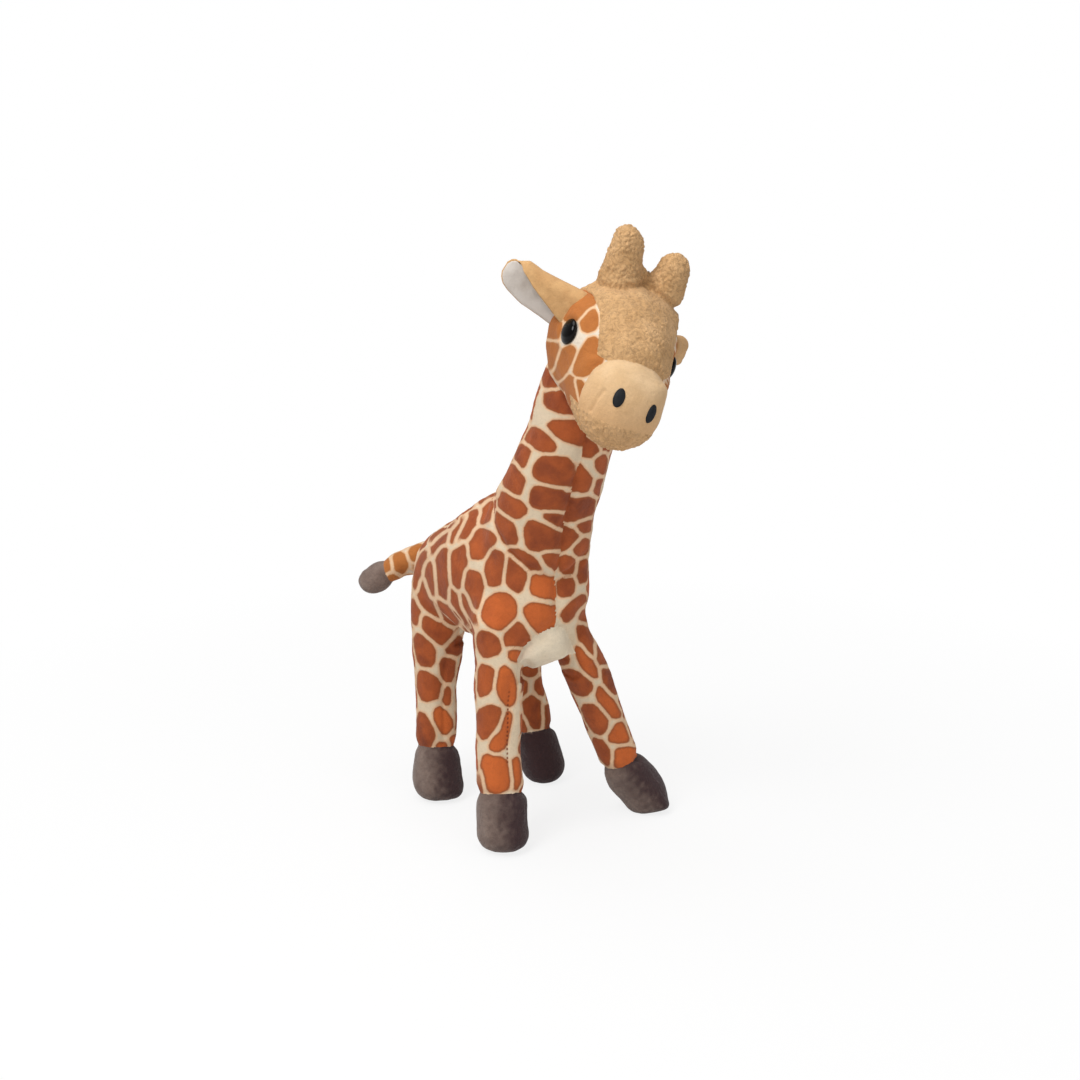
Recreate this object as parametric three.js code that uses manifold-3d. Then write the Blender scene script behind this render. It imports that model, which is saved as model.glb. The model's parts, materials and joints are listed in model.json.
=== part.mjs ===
// A stuffed plush giraffe, standing. Millimetres, +Z up, the nose towards -Y, the giraffe's left at +X.
// Each limb is a sewn cover of plush over a core of fibre filling, and bends at the seam that holds it.
import * as THREE from "three";
import { mergeVertices } from "three/addons/utils/BufferGeometryUtils.js";
import Module from "manifold-3d";

const wasm = await Module();
wasm.setup();

// Cloth and clearances
const PLUSH = 2; // the plush fabric with its pile
const GAP = 0.3; // between neighbouring pieces
const OVERRUN = 6; // how far a cut runs past what it cuts
const SEAM = 2.5; // how much narrower than a limb the opening is that its filling passes through
const SOLE_FLAT = 0.5; // how deep the round feet are cut flat where they stand
const SWEEP_STEP_DEG = 10; // between the copies of a body that clear a moving limb
const ROUND_RING_TURNS_DEG = [25, 57]; // where a round end has its rings, turned from its tip

// Torso: a barrel along Y, carried clear of the ground by the legs
const TORSO = {
  bellyHeight: 89,
  length: 112,
  chestReach: 18, // how far the chest stands ahead of the line between the front feet
  halfWidth: 34,
  height: 77,
  chestRound: 17,
  rumpRound: 22,
};
// Place along the torso, height of its middle, half-width and half-height
const torsoShares = [
  [0, 0.39, 0.65, 0.34],
  [0.15, 0.44, 0.76, 0.44],
  [0.27, 0.48, 0.88, 0.47],
  [0.43, 0.514, 0.97, 0.49],
  [0.62, 0.445, 1, 0.377],
  [0.8, 0.4, 0.97, 0.302],
  [1, 0.355, 0.86, 0.248],
];
// The cream panel under the belly is what an ellipsoid covers of the torso's skin
const BELLY_PANEL = { halfWidth: 18, halfLength: 61, halfHeight: 29 };
const bellyMiddleShare = 0.43; // of the torso's length

// Neck: rises from inside the torso and leans forwards into the head
const NECK = {
  rise: 130,
  reach: 58, // how far the neck's top lies ahead of its root
  lean: 6, // how far it leans to the giraffe's left
  halfWidth: 25.5,
  halfDepth: 25,
  sink: 56, // how deep the root lies under the top of the torso
};
const neckRootShare = 0.36; // of the torso's length
// How much of the reach and of the rise is done, half-width and half-depth
const neckShares = [
  [0, 0, 0.89, 0.8],
  [0.14, 0.14, 1, 1],
  [0.31, 0.31, 1, 1],
  [0.53, 0.5, 0.93, 0.78],
  [0.78, 0.73, 0.78, 0.74],
  [0.9, 0.86, 0.73, 0.71],
  [1, 1, 0.65, 0.66],
];
const neckBendShare = 0.2; // of the neck's rise, where it bends on the torso
const NECK_BEND = { minDeg: -10, maxDeg: 10 };
const headTurnShare = 0.88; // of the neck's rise, where the head turns on it
const neckLineShare = 0.8; // the head turns about the line from here to the neck's top
const HEAD_TURN = { minDeg: -20, maxDeg: 20 };

// Head, drawn in its own frame with the middle of the skull as the origin
const HEAD = {
  halfWidth: 27.5,
  halfHeight: 28.5,
  backLength: 28.5,
  faceLength: 52, // from the middle of the skull to the nose
  drop: 16.5, // how much lower the nose lies
  backRound: 22,
  noseRound: 11,
  ahead: 11.5, // from the neck's top to the middle of the skull
  above: 6.5,
  aside: 3.4,
  yawDeg: -14.3,
  pitchDeg: 9,
  rollDeg: 21.4,
};
// Place along the head from back to nose, how much of the drop is done, half-width and half-height
const headShares = [
  [0, 0, 0.86, 0.86],
  [0.3, 0, 1, 1],
  [0.46, 0.13, 0.93, 0.97],
  [0.6, 0.48, 0.78, 0.87],
  [0.74, 0.84, 0.66, 0.72],
  [0.87, 1, 0.59, 0.61],
  [1, 1, 0.56, 0.56],
];
// Where the fabric of the face changes
const FACE = {
  crownHalfWidth: 19.5,
  browHalfWidth: 15.5, // of the tan panel where it meets the muzzle
  foreheadBehind: 13, // how far the tan panel runs behind the skull's middle
  muzzleAhead: 37.5,
  chinBelow: 21,
  chinAhead: 24,
};

// Horns: stubs with a rounded knob
const HORN = {
  height: 30,
  base: 10.8,
  waist: 8.4,
  knob: 7.5,
  sink: 8, // how deep the horn's foot lies inside the head
  behind: 2,
};
// Each horn's height and girth as shares, and how far from the middle of the head its foot and tip stand
const horns = [
  { side: "left", sign: 1, heightShare: 0.86, girthShare: 0.92, baseApart: 13.5, tipApart: 12.4 },
  { side: "right", sign: -1, heightShare: 1, girthShare: 1, baseApart: 5.5, tipApart: 12 },
];

// Ears: a leaf of two fabrics, folded along its top edge so that its hollow opens downwards
const EAR = {
  length: 35,
  width: 21,
  cloth: 1.4,
  foldRadius: 3.6,
  foldSteps: 4,
  sink: 5, // how much of it lies inside the head before it is cut off there
  behind: 2,
  above: 8,
};
const EAR_FLOP = { minDeg: -25, maxDeg: 25 };
// Along the leaf: how wide it is folded, and how far down the rear flap its front flap hangs
const earShares = [
  [1, 0.84],
  [1, 0.8],
  [0.97, 0.74],
  [0.91, 0.68],
  [0.82, 0.62],
  [0.68, 0.56],
  [0.45, 0.5],
];
const ears = [
  { side: "right", sign: -1, backDeg: 20, liftDeg: 10 },
  { side: "left", sign: 1, backDeg: 60, liftDeg: -14 },
];

// Eyes: glossy domes on a stem that a washer holds inside the head
const EYE = {
  radius: 5.8,
  dome: 2.2,
  domeRings: 3,
  stemRadius: 1.6,
  stemPast: 1.5, // how far the stem stands past its washer
  stemHole: 7, // the reach of its hole to both sides of the cloth
  washerRadius: 4.5,
  washerThick: 1.5,
  washerSag: 0.4, // how far the washer's middle lies off the curved cloth
  ahead: 13,
  above: 3,
  towardsNoseDeg: 3,
};

// Nostrils: padded ovals of satin stitches
const NOSTRIL = { halfWidth: 2.1, halfHeight: 4, halfThick: 1, apart: 8, above: -11.4 };

// Legs: from inside the torso down to the ankle, then a dark hoof down to the ground
const LEG = {
  halfWidth: 10.5,
  halfDepth: 10.5,
  hipRise: 26, // how deep the leg's top lies inside the torso
  ankleHeight: 28,
  soleRound: 6.5,
};
const LEG_SWING = { minDeg: -16, maxDeg: 16 };
// Place along the leg, half-width and half-depth: first from hip to ankle, then from ankle to sole
const shankShares = [
  [0, 1.2, 1.3],
  [0.25, 1.15, 1.3],
  [0.5, 1, 1.05],
  [0.75, 0.93, 0.95],
  [1, 0.95, 0.95],
];
const hoofShares = [
  [0.5, 1.14, 1.18],
  [1, 1.12, 1.16],
];
// Hip, ankle and toe as shares of the torso's half-width and of its length, with the leg's thickness
const legs = [
  {
    name: "front_right",
    hipShares: [-0.6, 0.032],
    ankleShares: [-0.64, -0.012],
    toeShares: [-0.64, -0.037],
    girthShare: 1.04,
  },
  {
    name: "front_left",
    hipShares: [0.35, -0.01],
    ankleShares: [1.43, 0.04],
    toeShares: [1.84, 0.02],
    girthShare: 0.95,
  },
  {
    name: "hind_right",
    hipShares: [-0.64, 0.605],
    ankleShares: [-0.71, 0.595],
    toeShares: [-0.71, 0.575],
    girthShare: 1.03,
  },
  {
    name: "hind_left",
    hipShares: [0.56, 0.58],
    ankleShares: [0.88, 0.56],
    toeShares: [1, 0.54],
    girthShare: 0.95,
  },
];

// Tail: leaves the rump to the giraffe's right, with a dark tip
const TAIL = {
  length: 70,
  halfThick: 7.2,
  sink: 14,
  tip: 16,
  endRound: 6,
  headingDeg: 54, // from straight back towards the giraffe's right
  droopDeg: 22,
};
const tailRootShares = [0.965, 0.475]; // of the torso's length and height
const TAIL_SWING = { minDeg: -25, maxDeg: 25 };

const UP = new THREE.Vector3(0, 0, 1);
const LEFT = new THREE.Vector3(1, 0, 0);
const BACK = new THREE.Vector3(0, 1, 0);
const SPAN = 2 * (TORSO.bellyHeight + TORSO.height + NECK.rise + TORSO.length); // past the whole toy

// Materials
const cloth = (color, roughness = 0.95) =>
  new THREE.MeshStandardMaterial({ color, roughness, metalness: 0 });
const MATERIALS = {
  print: () => cloth(0xb5642f),
  brightPrint: () => cloth(0xc9813f),
  tan: () => cloth(0xd0a165),
  muzzle: () => cloth(0xdfb883),
  cream: () => cloth(0xf1e9d8),
  dark: () => cloth(0x4c3f39),
  lining: () => cloth(0xe9e8ea),
  filling: () => cloth(0xf6f6f4),
  thread: () => cloth(0x1c1a1c, 0.6),
  eye: () => cloth(0x0b0a0b, 0.08),
  washer: () => cloth(0xdedede, 0.4),
};

// The rings of a swelling form: where each lies, which way it faces and how thick the form is there
function ringsOf(form) {
  const spine = new THREE.CatmullRomCurve3(form.stations.map((station) => station.at));
  const girths = new THREE.CatmullRomCurve3(
    form.stations.map(({ across, deep }) => new THREE.Vector3(across, deep, 0)),
  );
  const length = spine.getLength();
  const startShare = (form.startRound ?? 0) / length;
  const endShare = (form.endRound ?? 0) / length;
  const places = [];
  for (let i = 0; i <= form.rings; i++) {
    places.push([THREE.MathUtils.lerp(startShare, 1 - endShare, i / form.rings), 1]);
  }
  for (const turnDeg of ROUND_RING_TURNS_DEG) {
    const turn = THREE.MathUtils.degToRad(turnDeg);
    if (form.startRound) {
      places.push([startShare * (1 - Math.cos(turn)), Math.sin(turn)]);
    }
    if (form.endRound) {
      places.push([1 - endShare * (1 - Math.cos(turn)), Math.sin(turn)]);
    }
  }
  places.sort((a, b) => a[0] - b[0]);
  const rings = places.map(([place, fullness]) => {
    const t = spine.getUtoTmapping(place);
    const heading = form.facing ?? spine.getTangent(t);
    const across = form.side.clone().projectOnPlane(heading).normalize();
    return {
      middle: spine.getPoint(t),
      across,
      deep: heading.clone().cross(across),
      girth: girths.getPoint(t).multiplyScalar(fullness),
    };
  });
  return { rings, ends: [spine.getPoint(0), spine.getPoint(1)] };
}

// The closed skin of a form, moved outwards along its normals by growth
function skin(form, growth = 0, segments = form.segments) {
  const { rings, ends } = ringsOf(form);
  const points = [ends[0]];
  const bend = 2 / form.squareness;
  for (const { middle, across, deep, girth } of rings) {
    for (let i = 0; i < segments; i++) {
      const turn = (2 * Math.PI * i) / segments;
      const x = Math.sign(Math.cos(turn)) * Math.abs(Math.cos(turn)) ** bend * girth.x;
      const y = Math.sign(Math.sin(turn)) * Math.abs(Math.sin(turn)) ** bend * girth.y;
      points.push(middle.clone().addScaledVector(across, x).addScaledVector(deep, y));
    }
  }
  points.push(ends[1]);
  const last = points.length - 1;
  const faces = [];
  for (let i = 0; i < segments; i++) {
    const next = (i + 1) % segments;
    faces.push(0, 1 + next, 1 + i);
    for (let ring = 0; ring < rings.length - 1; ring++) {
      const here = 1 + ring * segments;
      const there = here + segments;
      faces.push(here + i, here + next, there + next, here + i, there + next, there + i);
    }
    faces.push(last, last - segments + i, last - segments + next);
  }
  const geometry = new THREE.BufferGeometry().setFromPoints(points);
  geometry.setIndex(faces);
  geometry.computeVertexNormals();
  const normals = geometry.getAttribute("normal");
  const moved = points.map((point, i) =>
    point.clone().addScaledVector(new THREE.Vector3().fromBufferAttribute(normals, i), growth),
  );
  return solidOf(geometry.setFromPoints(moved));
}

// A manifold solid of a closed geometry
function solidOf(geometry) {
  geometry.deleteAttribute("normal");
  geometry.deleteAttribute("uv");
  const merged = mergeVertices(geometry);
  return new wasm.Manifold(
    new wasm.Mesh({
      numProp: 3,
      vertProperties: new Float32Array(merged.getAttribute("position").array),
      triVerts: new Uint32Array(merged.getIndex().array),
    }),
  );
}

function geometryOf(solid) {
  const { numProp, vertProperties, triVerts } = solid.getMesh();
  const geometry = new THREE.BufferGeometry();
  geometry.setAttribute("position", new THREE.BufferAttribute(vertProperties, numProp));
  geometry.setIndex(new THREE.BufferAttribute(triVerts, 1));
  geometry.computeVertexNormals();
  return geometry;
}

// A named mesh of the largest body of a solid, which leaves out the shavings of a cut
function piece(name, solid, material) {
  const bodies = solid.decompose().sort((a, b) => b.volume() - a.volume());
  const mesh = new THREE.Mesh(geometryOf(bodies[0]), material());
  mesh.name = name;
  return mesh;
}

// A box between two corners
function block(low, high) {
  const size = new THREE.Vector3().subVectors(high, low);
  const middle = new THREE.Vector3().addVectors(low, high).multiplyScalar(0.5);
  const box = new THREE.BoxGeometry(size.x, size.y, size.z).translate(middle.x, middle.y, middle.z);
  return solidOf(box);
}

// Everything on the far side of a plane
function beyond(point, heading) {
  const box = new THREE.BoxGeometry(SPAN, SPAN, SPAN).translate(0, 0, SPAN / 2);
  const turn = new THREE.Quaternion().setFromUnitVectors(UP, heading);
  box.applyQuaternion(turn).translate(point.x, point.y, point.z);
  return solidOf(box);
}

// A hinge is a point, an axis and a range
function turned(solid, hinge, degrees) {
  const matrix = new THREE.Matrix4()
    .makeTranslation(hinge.at)
    .multiply(new THREE.Matrix4().makeRotationAxis(hinge.axis, THREE.MathUtils.degToRad(degrees)))
    .multiply(new THREE.Matrix4().makeTranslation(hinge.at.clone().negate()));
  return solid.transform(matrix.elements);
}

// All that a body passes through while it turns on a hinge, or while its neighbour does where sense is -1
function swept(solid, hinge, sense = 1) {
  const { minDeg, maxDeg } = hinge.range;
  const steps = Math.ceil((maxDeg - minDeg) / SWEEP_STEP_DEG);
  const copies = [];
  for (let i = 0; i <= steps; i++) {
    copies.push(turned(solid, hinge, sense * THREE.MathUtils.lerp(minDeg, maxDeg, i / steps)));
  }
  return wasm.Manifold.union(copies);
}

// Forms
const chestY = -TORSO.chestReach;
const torsoForm = {
  side: LEFT,
  facing: BACK,
  squareness: 2.3,
  segments: 16,
  rings: 6,
  startRound: TORSO.chestRound,
  endRound: TORSO.rumpRound,
  stations: torsoShares.map(([place, middle, width, height]) => ({
    at: new THREE.Vector3(
      0,
      chestY + place * TORSO.length,
      TORSO.bellyHeight + middle * TORSO.height,
    ),
    across: width * TORSO.halfWidth,
    deep: height * TORSO.height,
  })),
};

const neckRoot = new THREE.Vector3(
  0,
  chestY + neckRootShare * TORSO.length,
  TORSO.bellyHeight + TORSO.height - NECK.sink,
);
const neckPlace = (reachShare, riseShare) =>
  neckRoot
    .clone()
    .add(
      new THREE.Vector3(
        riseShare ** 2 * NECK.lean,
        -reachShare * NECK.reach,
        riseShare * NECK.rise,
      ),
    );
const neckForm = {
  side: LEFT,
  squareness: 2.1,
  segments: 14,
  rings: 8,
  stations: neckShares.map(([reach, rise, width, depth]) => ({
    at: neckPlace(reach, rise),
    across: width * NECK.halfWidth,
    deep: depth * NECK.halfDepth,
  })),
};

const headForm = {
  side: LEFT,
  squareness: 2.1,
  segments: 16,
  rings: 6,
  startRound: HEAD.backRound,
  endRound: HEAD.noseRound,
  stations: headShares.map(([place, drop, width, height]) => ({
    at: new THREE.Vector3(
      0,
      HEAD.backLength - place * (HEAD.backLength + HEAD.faceLength),
      -drop * HEAD.drop,
    ),
    across: width * HEAD.halfWidth,
    deep: height * HEAD.halfHeight,
  })),
};
const headPose = new THREE.Matrix4().compose(
  neckPlace(1, 1).add(new THREE.Vector3(HEAD.aside, -HEAD.ahead, HEAD.above)),
  new THREE.Quaternion().setFromEuler(
    new THREE.Euler(
      THREE.MathUtils.degToRad(HEAD.pitchDeg),
      THREE.MathUtils.degToRad(HEAD.rollDeg),
      THREE.MathUtils.degToRad(HEAD.yawDeg),
      "ZXY",
    ),
  ),
  new THREE.Vector3(1, 1, 1),
);

function hornForm({ sign, heightShare, girthShare, baseApart, tipApart }) {
  const foot = HEAD.halfHeight - HORN.sink;
  const station = (height, x, girth) => ({
    at: new THREE.Vector3(sign * x, HORN.behind, foot + height),
    across: girthShare * girth,
    deep: girthShare * girth,
  });
  const tall = HORN.height * heightShare;
  return {
    side: LEFT,
    squareness: 2,
    segments: 10,
    rings: 3,
    endRound: HORN.knob,
    stations: [
      station(0, baseApart, HORN.base),
      station(tall / 2, (baseApart + tipApart) / 2, HORN.waist),
      station(tall, tipApart, HORN.knob),
    ],
  };
}

function legForm({ hipShares, ankleShares, toeShares, girthShare }) {
  const place = ([across, back], height) =>
    new THREE.Vector3(across * TORSO.halfWidth, back * TORSO.length, height);
  const hip = place(hipShares, TORSO.bellyHeight + LEG.hipRise);
  const ankle = place(ankleShares, LEG.ankleHeight);
  const toe = place(toeShares, 0);
  // The rounded end's middle stands so high that its lowest point dips by the depth of the flat
  const slant = toe.clone().sub(ankle).angleTo(UP.clone().negate());
  const sideReach = girthShare * LEG.halfWidth * Math.sin(slant);
  toe.z = Math.hypot(LEG.soleRound * Math.cos(slant), sideReach) - SOLE_FLAT;
  const sole = toe.clone().addScaledVector(toe.clone().sub(ankle).normalize(), LEG.soleRound);
  const station = (from, to) =>
    ([along, width, depth]) => ({
      at: from.clone().lerp(to, along),
      across: width * girthShare * LEG.halfWidth,
      deep: depth * girthShare * LEG.halfDepth,
    });
  const heading = ankle.clone().sub(hip).normalize();
  return {
    side: LEFT,
    squareness: 2,
    segments: 12,
    rings: 5,
    endRound: LEG.soleRound,
    heading,
    split: { at: ankle, heading },
    stations: [
      ...shankShares.map(station(hip, ankle)),
      ...hoofShares.map(station(ankle, sole)),
    ],
  };
}

const tailHeading = new THREE.Vector3(
  -Math.sin(THREE.MathUtils.degToRad(TAIL.headingDeg)),
  Math.cos(THREE.MathUtils.degToRad(TAIL.headingDeg)),
  -Math.tan(THREE.MathUtils.degToRad(TAIL.droopDeg)),
).normalize();
const tailRoot = new THREE.Vector3(
  0,
  chestY + tailRootShares[0] * TORSO.length,
  TORSO.bellyHeight + tailRootShares[1] * TORSO.height,
);
const tailForm = {
  side: LEFT,
  squareness: 2,
  segments: 10,
  rings: 3,
  endRound: TAIL.endRound,
  stations: [0, 1 / 3, 2 / 3, 1].map((place) => ({
    at: tailRoot.clone().addScaledVector(tailHeading, place * TAIL.length - TAIL.sink),
    across: TAIL.halfThick,
    deep: TAIL.halfThick,
  })),
};

// Hinges
const neckHinge = {
  at: neckPlace(neckBendShare, neckBendShare),
  axis: LEFT,
  range: NECK_BEND,
};
const headHinge = {
  at: neckPlace(headTurnShare, headTurnShare),
  axis: neckPlace(1, 1).sub(neckPlace(neckLineShare, neckLineShare)).normalize(),
  range: HEAD_TURN,
};
const legHinge = (form) => {
  const { at } = form.stations[0];
  const depth = (at.z - TORSO.bellyHeight) / -form.heading.z;
  return { at: at.clone().addScaledVector(form.heading, depth), axis: LEFT, range: LEG_SWING };
};
const tailHinge = { at: tailRoot, axis: UP, range: TAIL_SWING };

// Whole outer bodies, grown by the gap that they keep to what they cut, and what lies inside a cover:
// the face of its cloth, the filling, and the opening that a filling passes through
const torsoCutter = skin(torsoForm, GAP);
const headSkin = skin(headForm);
const headCutter = skin(headForm, GAP);
const inner = (form) => skin(form, -PLUSH, form.segments / 2);
const core = (form) => skin(form, -PLUSH - GAP, form.segments / 2);
const mouth = (form) => skin(form, -PLUSH - SEAM);

const giraffe = new THREE.Group();

function addLimb(group, names, form, keep, materials) {
  const shell = skin(form).subtract(inner(form));
  const split = form.split;
  const far = beyond(split.at.clone().addScaledVector(split.heading, GAP / 2), split.heading);
  const near = beyond(
    split.at.clone().addScaledVector(split.heading, -GAP / 2),
    split.heading.clone().negate(),
  );
  group.add(piece(names[0], keep(shell.intersect(near)), materials[0]));
  group.add(piece(names[1], keep(shell.intersect(far)), materials[1]));
  group.add(piece(names[2], keep(core(form)), materials[2]));
}

// Legs
const groundCut = beyond(new THREE.Vector3(), UP.clone().negate());
const legForms = legs.map((leg) => ({ name: leg.name, form: legForm(leg) }));
for (const { name, form } of legForms) {
  const clear = swept(torsoCutter, legHinge(form), -1).add(groundCut);
  addLimb(
    giraffe,
    [`leg_cover_${name}`, `hoof_${name}`, `leg_filling_${name}`],
    form,
    (solid) => solid.subtract(clear),
    [MATERIALS.print, MATERIALS.dark, MATERIALS.filling],
  );
}

// Tail
tailForm.split = {
  at: tailForm.stations.at(-1).at.clone().addScaledVector(tailHeading, -TAIL.tip),
  heading: tailHeading,
};
const tailClear = swept(torsoCutter, tailHinge, -1);
addLimb(
  giraffe,
  ["tail_cover", "tail_tip", "tail_filling"],
  tailForm,
  (solid) => solid.subtract(tailClear),
  [MATERIALS.brightPrint, MATERIALS.dark, MATERIALS.filling],
);

// Neck: left and right panels of cloth, sewn down the front and the back, over one core
const headInWorld = headCutter.transform(headPose.elements);
const neckClear = swept(torsoCutter, neckHinge, -1).add(swept(headInWorld, headHinge));
const neckShell = skin(neckForm).subtract(inner(neckForm)).subtract(neckClear);
const sides = [
  ["left", 1],
  ["right", -1],
];
for (const [side, sign] of sides) {
  const heading = LEFT.clone().multiplyScalar(sign);
  const half = beyond(heading.clone().multiplyScalar(GAP / 2), heading);
  giraffe.add(piece(`neck_panel_${side}`, neckShell.intersect(half), MATERIALS.print));
}
giraffe.add(piece("neck_filling", core(neckForm).subtract(neckClear), MATERIALS.filling));

// Torso: left, right and belly panels over one core, open where the limbs' filling passes
const limbForms = [neckForm, tailForm, ...legForms.map(({ form }) => form)];
const openings = wasm.Manifold.union(limbForms.map(mouth));
const torsoShell = skin(torsoForm).subtract(inner(torsoForm)).subtract(openings);
const bellyRegion = (growth) => {
  const { halfWidth, halfLength, halfHeight } = BELLY_PANEL;
  const egg = new THREE.SphereGeometry(1, 18, 12)
    .rotateX(Math.PI / 2)
    .scale(halfWidth + growth, halfLength + growth, halfHeight + growth)
    .translate(0, chestY + bellyMiddleShare * TORSO.length, TORSO.bellyHeight);
  return solidOf(egg);
};
for (const [side, sign] of sides) {
  const heading = LEFT.clone().multiplyScalar(sign);
  const half = beyond(heading.clone().multiplyScalar(GAP / 2), heading);
  const panel = torsoShell.intersect(half).subtract(bellyRegion(GAP));
  giraffe.add(piece(`torso_panel_${side}`, panel, MATERIALS.print));
}
giraffe.add(piece("belly_panel", torsoShell.intersect(bellyRegion(0)), MATERIALS.cream));
giraffe.add(piece("torso_filling", core(torsoForm), MATERIALS.filling));

// Head, in its own frame
const head = new THREE.Group();
head.applyMatrix4(headPose);
giraffe.add(head);
const skull = new THREE.Mesh(geometryOf(headSkin));

// Where a line into the head from outside meets its skin
function onHead(through, heading) {
  const start = through.clone().addScaledVector(heading, SPAN);
  const ray = new THREE.Raycaster(start, heading.clone().negate());
  return ray.intersectObject(skull)[0].point;
}

// A turned solid along a heading, its profile's origin at a point
function turning(profile, at, heading, segments = 12) {
  const outline = profile.map(([radius, height]) => new THREE.Vector2(radius, height));
  const turn = new THREE.Quaternion().setFromUnitVectors(BACK, heading);
  const shape = new THREE.LatheGeometry(outline, segments);
  return solidOf(shape.applyQuaternion(turn).translate(at.x, at.y, at.z));
}

const eyes = sides.map(([side, sign]) => {
  const towards = THREE.MathUtils.degToRad(EYE.towardsNoseDeg);
  const heading = new THREE.Vector3(sign * Math.cos(towards), -Math.sin(towards), 0);
  const at = onHead(new THREE.Vector3(0, -EYE.ahead, EYE.above), LEFT.clone().multiplyScalar(sign));
  const rod = (radius, from, to) =>
    turning([[0, from], [radius, from], [radius, to], [0, to]], at, heading);
  return { side, at, heading, rod };
});
const washerTop = -PLUSH - GAP - EYE.washerSag;
const washerFoot = washerTop - EYE.washerThick;
for (const { side, at, heading, rod } of eyes) {
  const dome = [];
  for (let i = 0; i <= EYE.domeRings; i++) {
    const turn = (i / EYE.domeRings) * (Math.PI / 2);
    dome.push([EYE.radius * Math.cos(turn), EYE.dome * Math.sin(turn)]);
  }
  const cap = turning([[0, -EYE.dome], [EYE.radius, -EYE.dome], ...dome], at, heading);
  const stem = rod(EYE.stemRadius, washerFoot - EYE.stemPast, EYE.dome / 2);
  head.add(piece(`eye_${side}`, cap.subtract(headCutter).add(stem), MATERIALS.eye));
  const washer = rod(EYE.washerRadius, washerFoot, washerTop)
    .subtract(rod(EYE.stemRadius + GAP, washerFoot - OVERRUN, washerTop + OVERRUN))
    .intersect(core(headForm));
  head.add(piece(`eye_washer_${side}`, washer, MATERIALS.washer));
}

// Head cloth: tan forehead, pale muzzle, fuzzy chin, and a printed cover for the rest
const headShell = headSkin.subtract(inner(headForm));
const neckMouth = mouth(neckForm).transform(headPose.clone().invert().elements);
const stemHoles = eyes.map(({ rod }) => rod(EYE.stemRadius + GAP, -EYE.stemHole, EYE.stemHole));
const foreheadRegion = (growth) => {
  const crown = FACE.crownHalfWidth + growth;
  const brow = FACE.browHalfWidth + growth;
  const behind = FACE.foreheadBehind + growth;
  const outline = new THREE.Shape([
    new THREE.Vector2(-brow, -FACE.muzzleAhead),
    new THREE.Vector2(brow, -FACE.muzzleAhead),
    new THREE.Vector2(crown, 0),
    new THREE.Vector2(crown, behind),
    new THREE.Vector2(-crown, behind),
    new THREE.Vector2(-crown, 0),
  ]);
  const prism = new THREE.ExtrudeGeometry(outline, { depth: SPAN, bevelEnabled: false });
  return solidOf(prism.translate(0, 0, -growth));
};
const muzzleRegion = (growth) =>
  beyond(new THREE.Vector3(0, -FACE.muzzleAhead + growth, 0), BACK.clone().negate());
const chinRegion = (growth) =>
  block(
    new THREE.Vector3(-SPAN, -SPAN, -SPAN),
    new THREE.Vector3(SPAN, -FACE.chinAhead + growth, -FACE.chinBelow + growth),
  );
const headCover = headShell
  .subtract(foreheadRegion(GAP))
  .subtract(muzzleRegion(GAP))
  .subtract(chinRegion(GAP))
  .subtract(neckMouth)
  .subtract(wasm.Manifold.union(stemHoles));
head.add(piece("head_cover", headCover, MATERIALS.print));
head.add(piece("forehead_panel", headShell.intersect(foreheadRegion(0)), MATERIALS.tan));
const muzzle = headShell.intersect(muzzleRegion(-GAP)).subtract(chinRegion(GAP));
head.add(piece("muzzle", muzzle, MATERIALS.muzzle));
head.add(piece("chin_panel", headShell.intersect(chinRegion(0)), MATERIALS.tan));
const pockets = eyes.map(({ rod }) =>
  rod(EYE.washerRadius + GAP, washerFoot - EYE.stemPast - GAP, EYE.stemHole),
);
const headCore = core(headForm).subtract(wasm.Manifold.union(pockets));
head.add(piece("head_filling", headCore, MATERIALS.filling));

// Nostrils, on the muzzle
for (const [side, sign] of sides) {
  const at = onHead(new THREE.Vector3(sign * NOSTRIL.apart, 0, NOSTRIL.above), BACK.clone().negate());
  const oval = new THREE.SphereGeometry(1, 10, 6)
    .scale(NOSTRIL.halfWidth, NOSTRIL.halfThick, NOSTRIL.halfHeight)
    .translate(at.x, at.y, at.z);
  head.add(piece(`nostril_${side}`, solidOf(oval).subtract(headCutter), MATERIALS.thread));
}

// Horns
for (const horn of horns) {
  const form = hornForm(horn);
  const cover = skin(form).subtract(inner(form)).subtract(headCutter);
  head.add(piece(`horn_${horn.side}`, cover, MATERIALS.tan));
  head.add(piece(`horn_filling_${horn.side}`, core(form).subtract(headCutter), MATERIALS.filling));
}

// An ear's section where it is so wide: how far down and how far forwards each place of the middle sheet
// lies, and which way the hollow is from there
function earSection([widthShare, frontShare]) {
  const width = widthShare * EAR.width;
  const top = EAR.foldRadius - width / 2;
  const section = [];
  const put = (down, forward, turn) =>
    section.push({ down, forward, into: new THREE.Vector2(Math.sin(turn), -Math.cos(turn)) });
  put((frontShare - 0.5) * width, EAR.foldRadius, 0);
  for (let i = 0; i <= EAR.foldSteps; i++) {
    const turn = (Math.PI * i) / EAR.foldSteps;
    put(top - EAR.foldRadius * Math.sin(turn), EAR.foldRadius * Math.cos(turn), turn);
  }
  put(width / 4 + top / 2, -EAR.foldRadius, Math.PI);
  put(width / 2, -EAR.foldRadius, Math.PI);
  return section;
}

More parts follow.
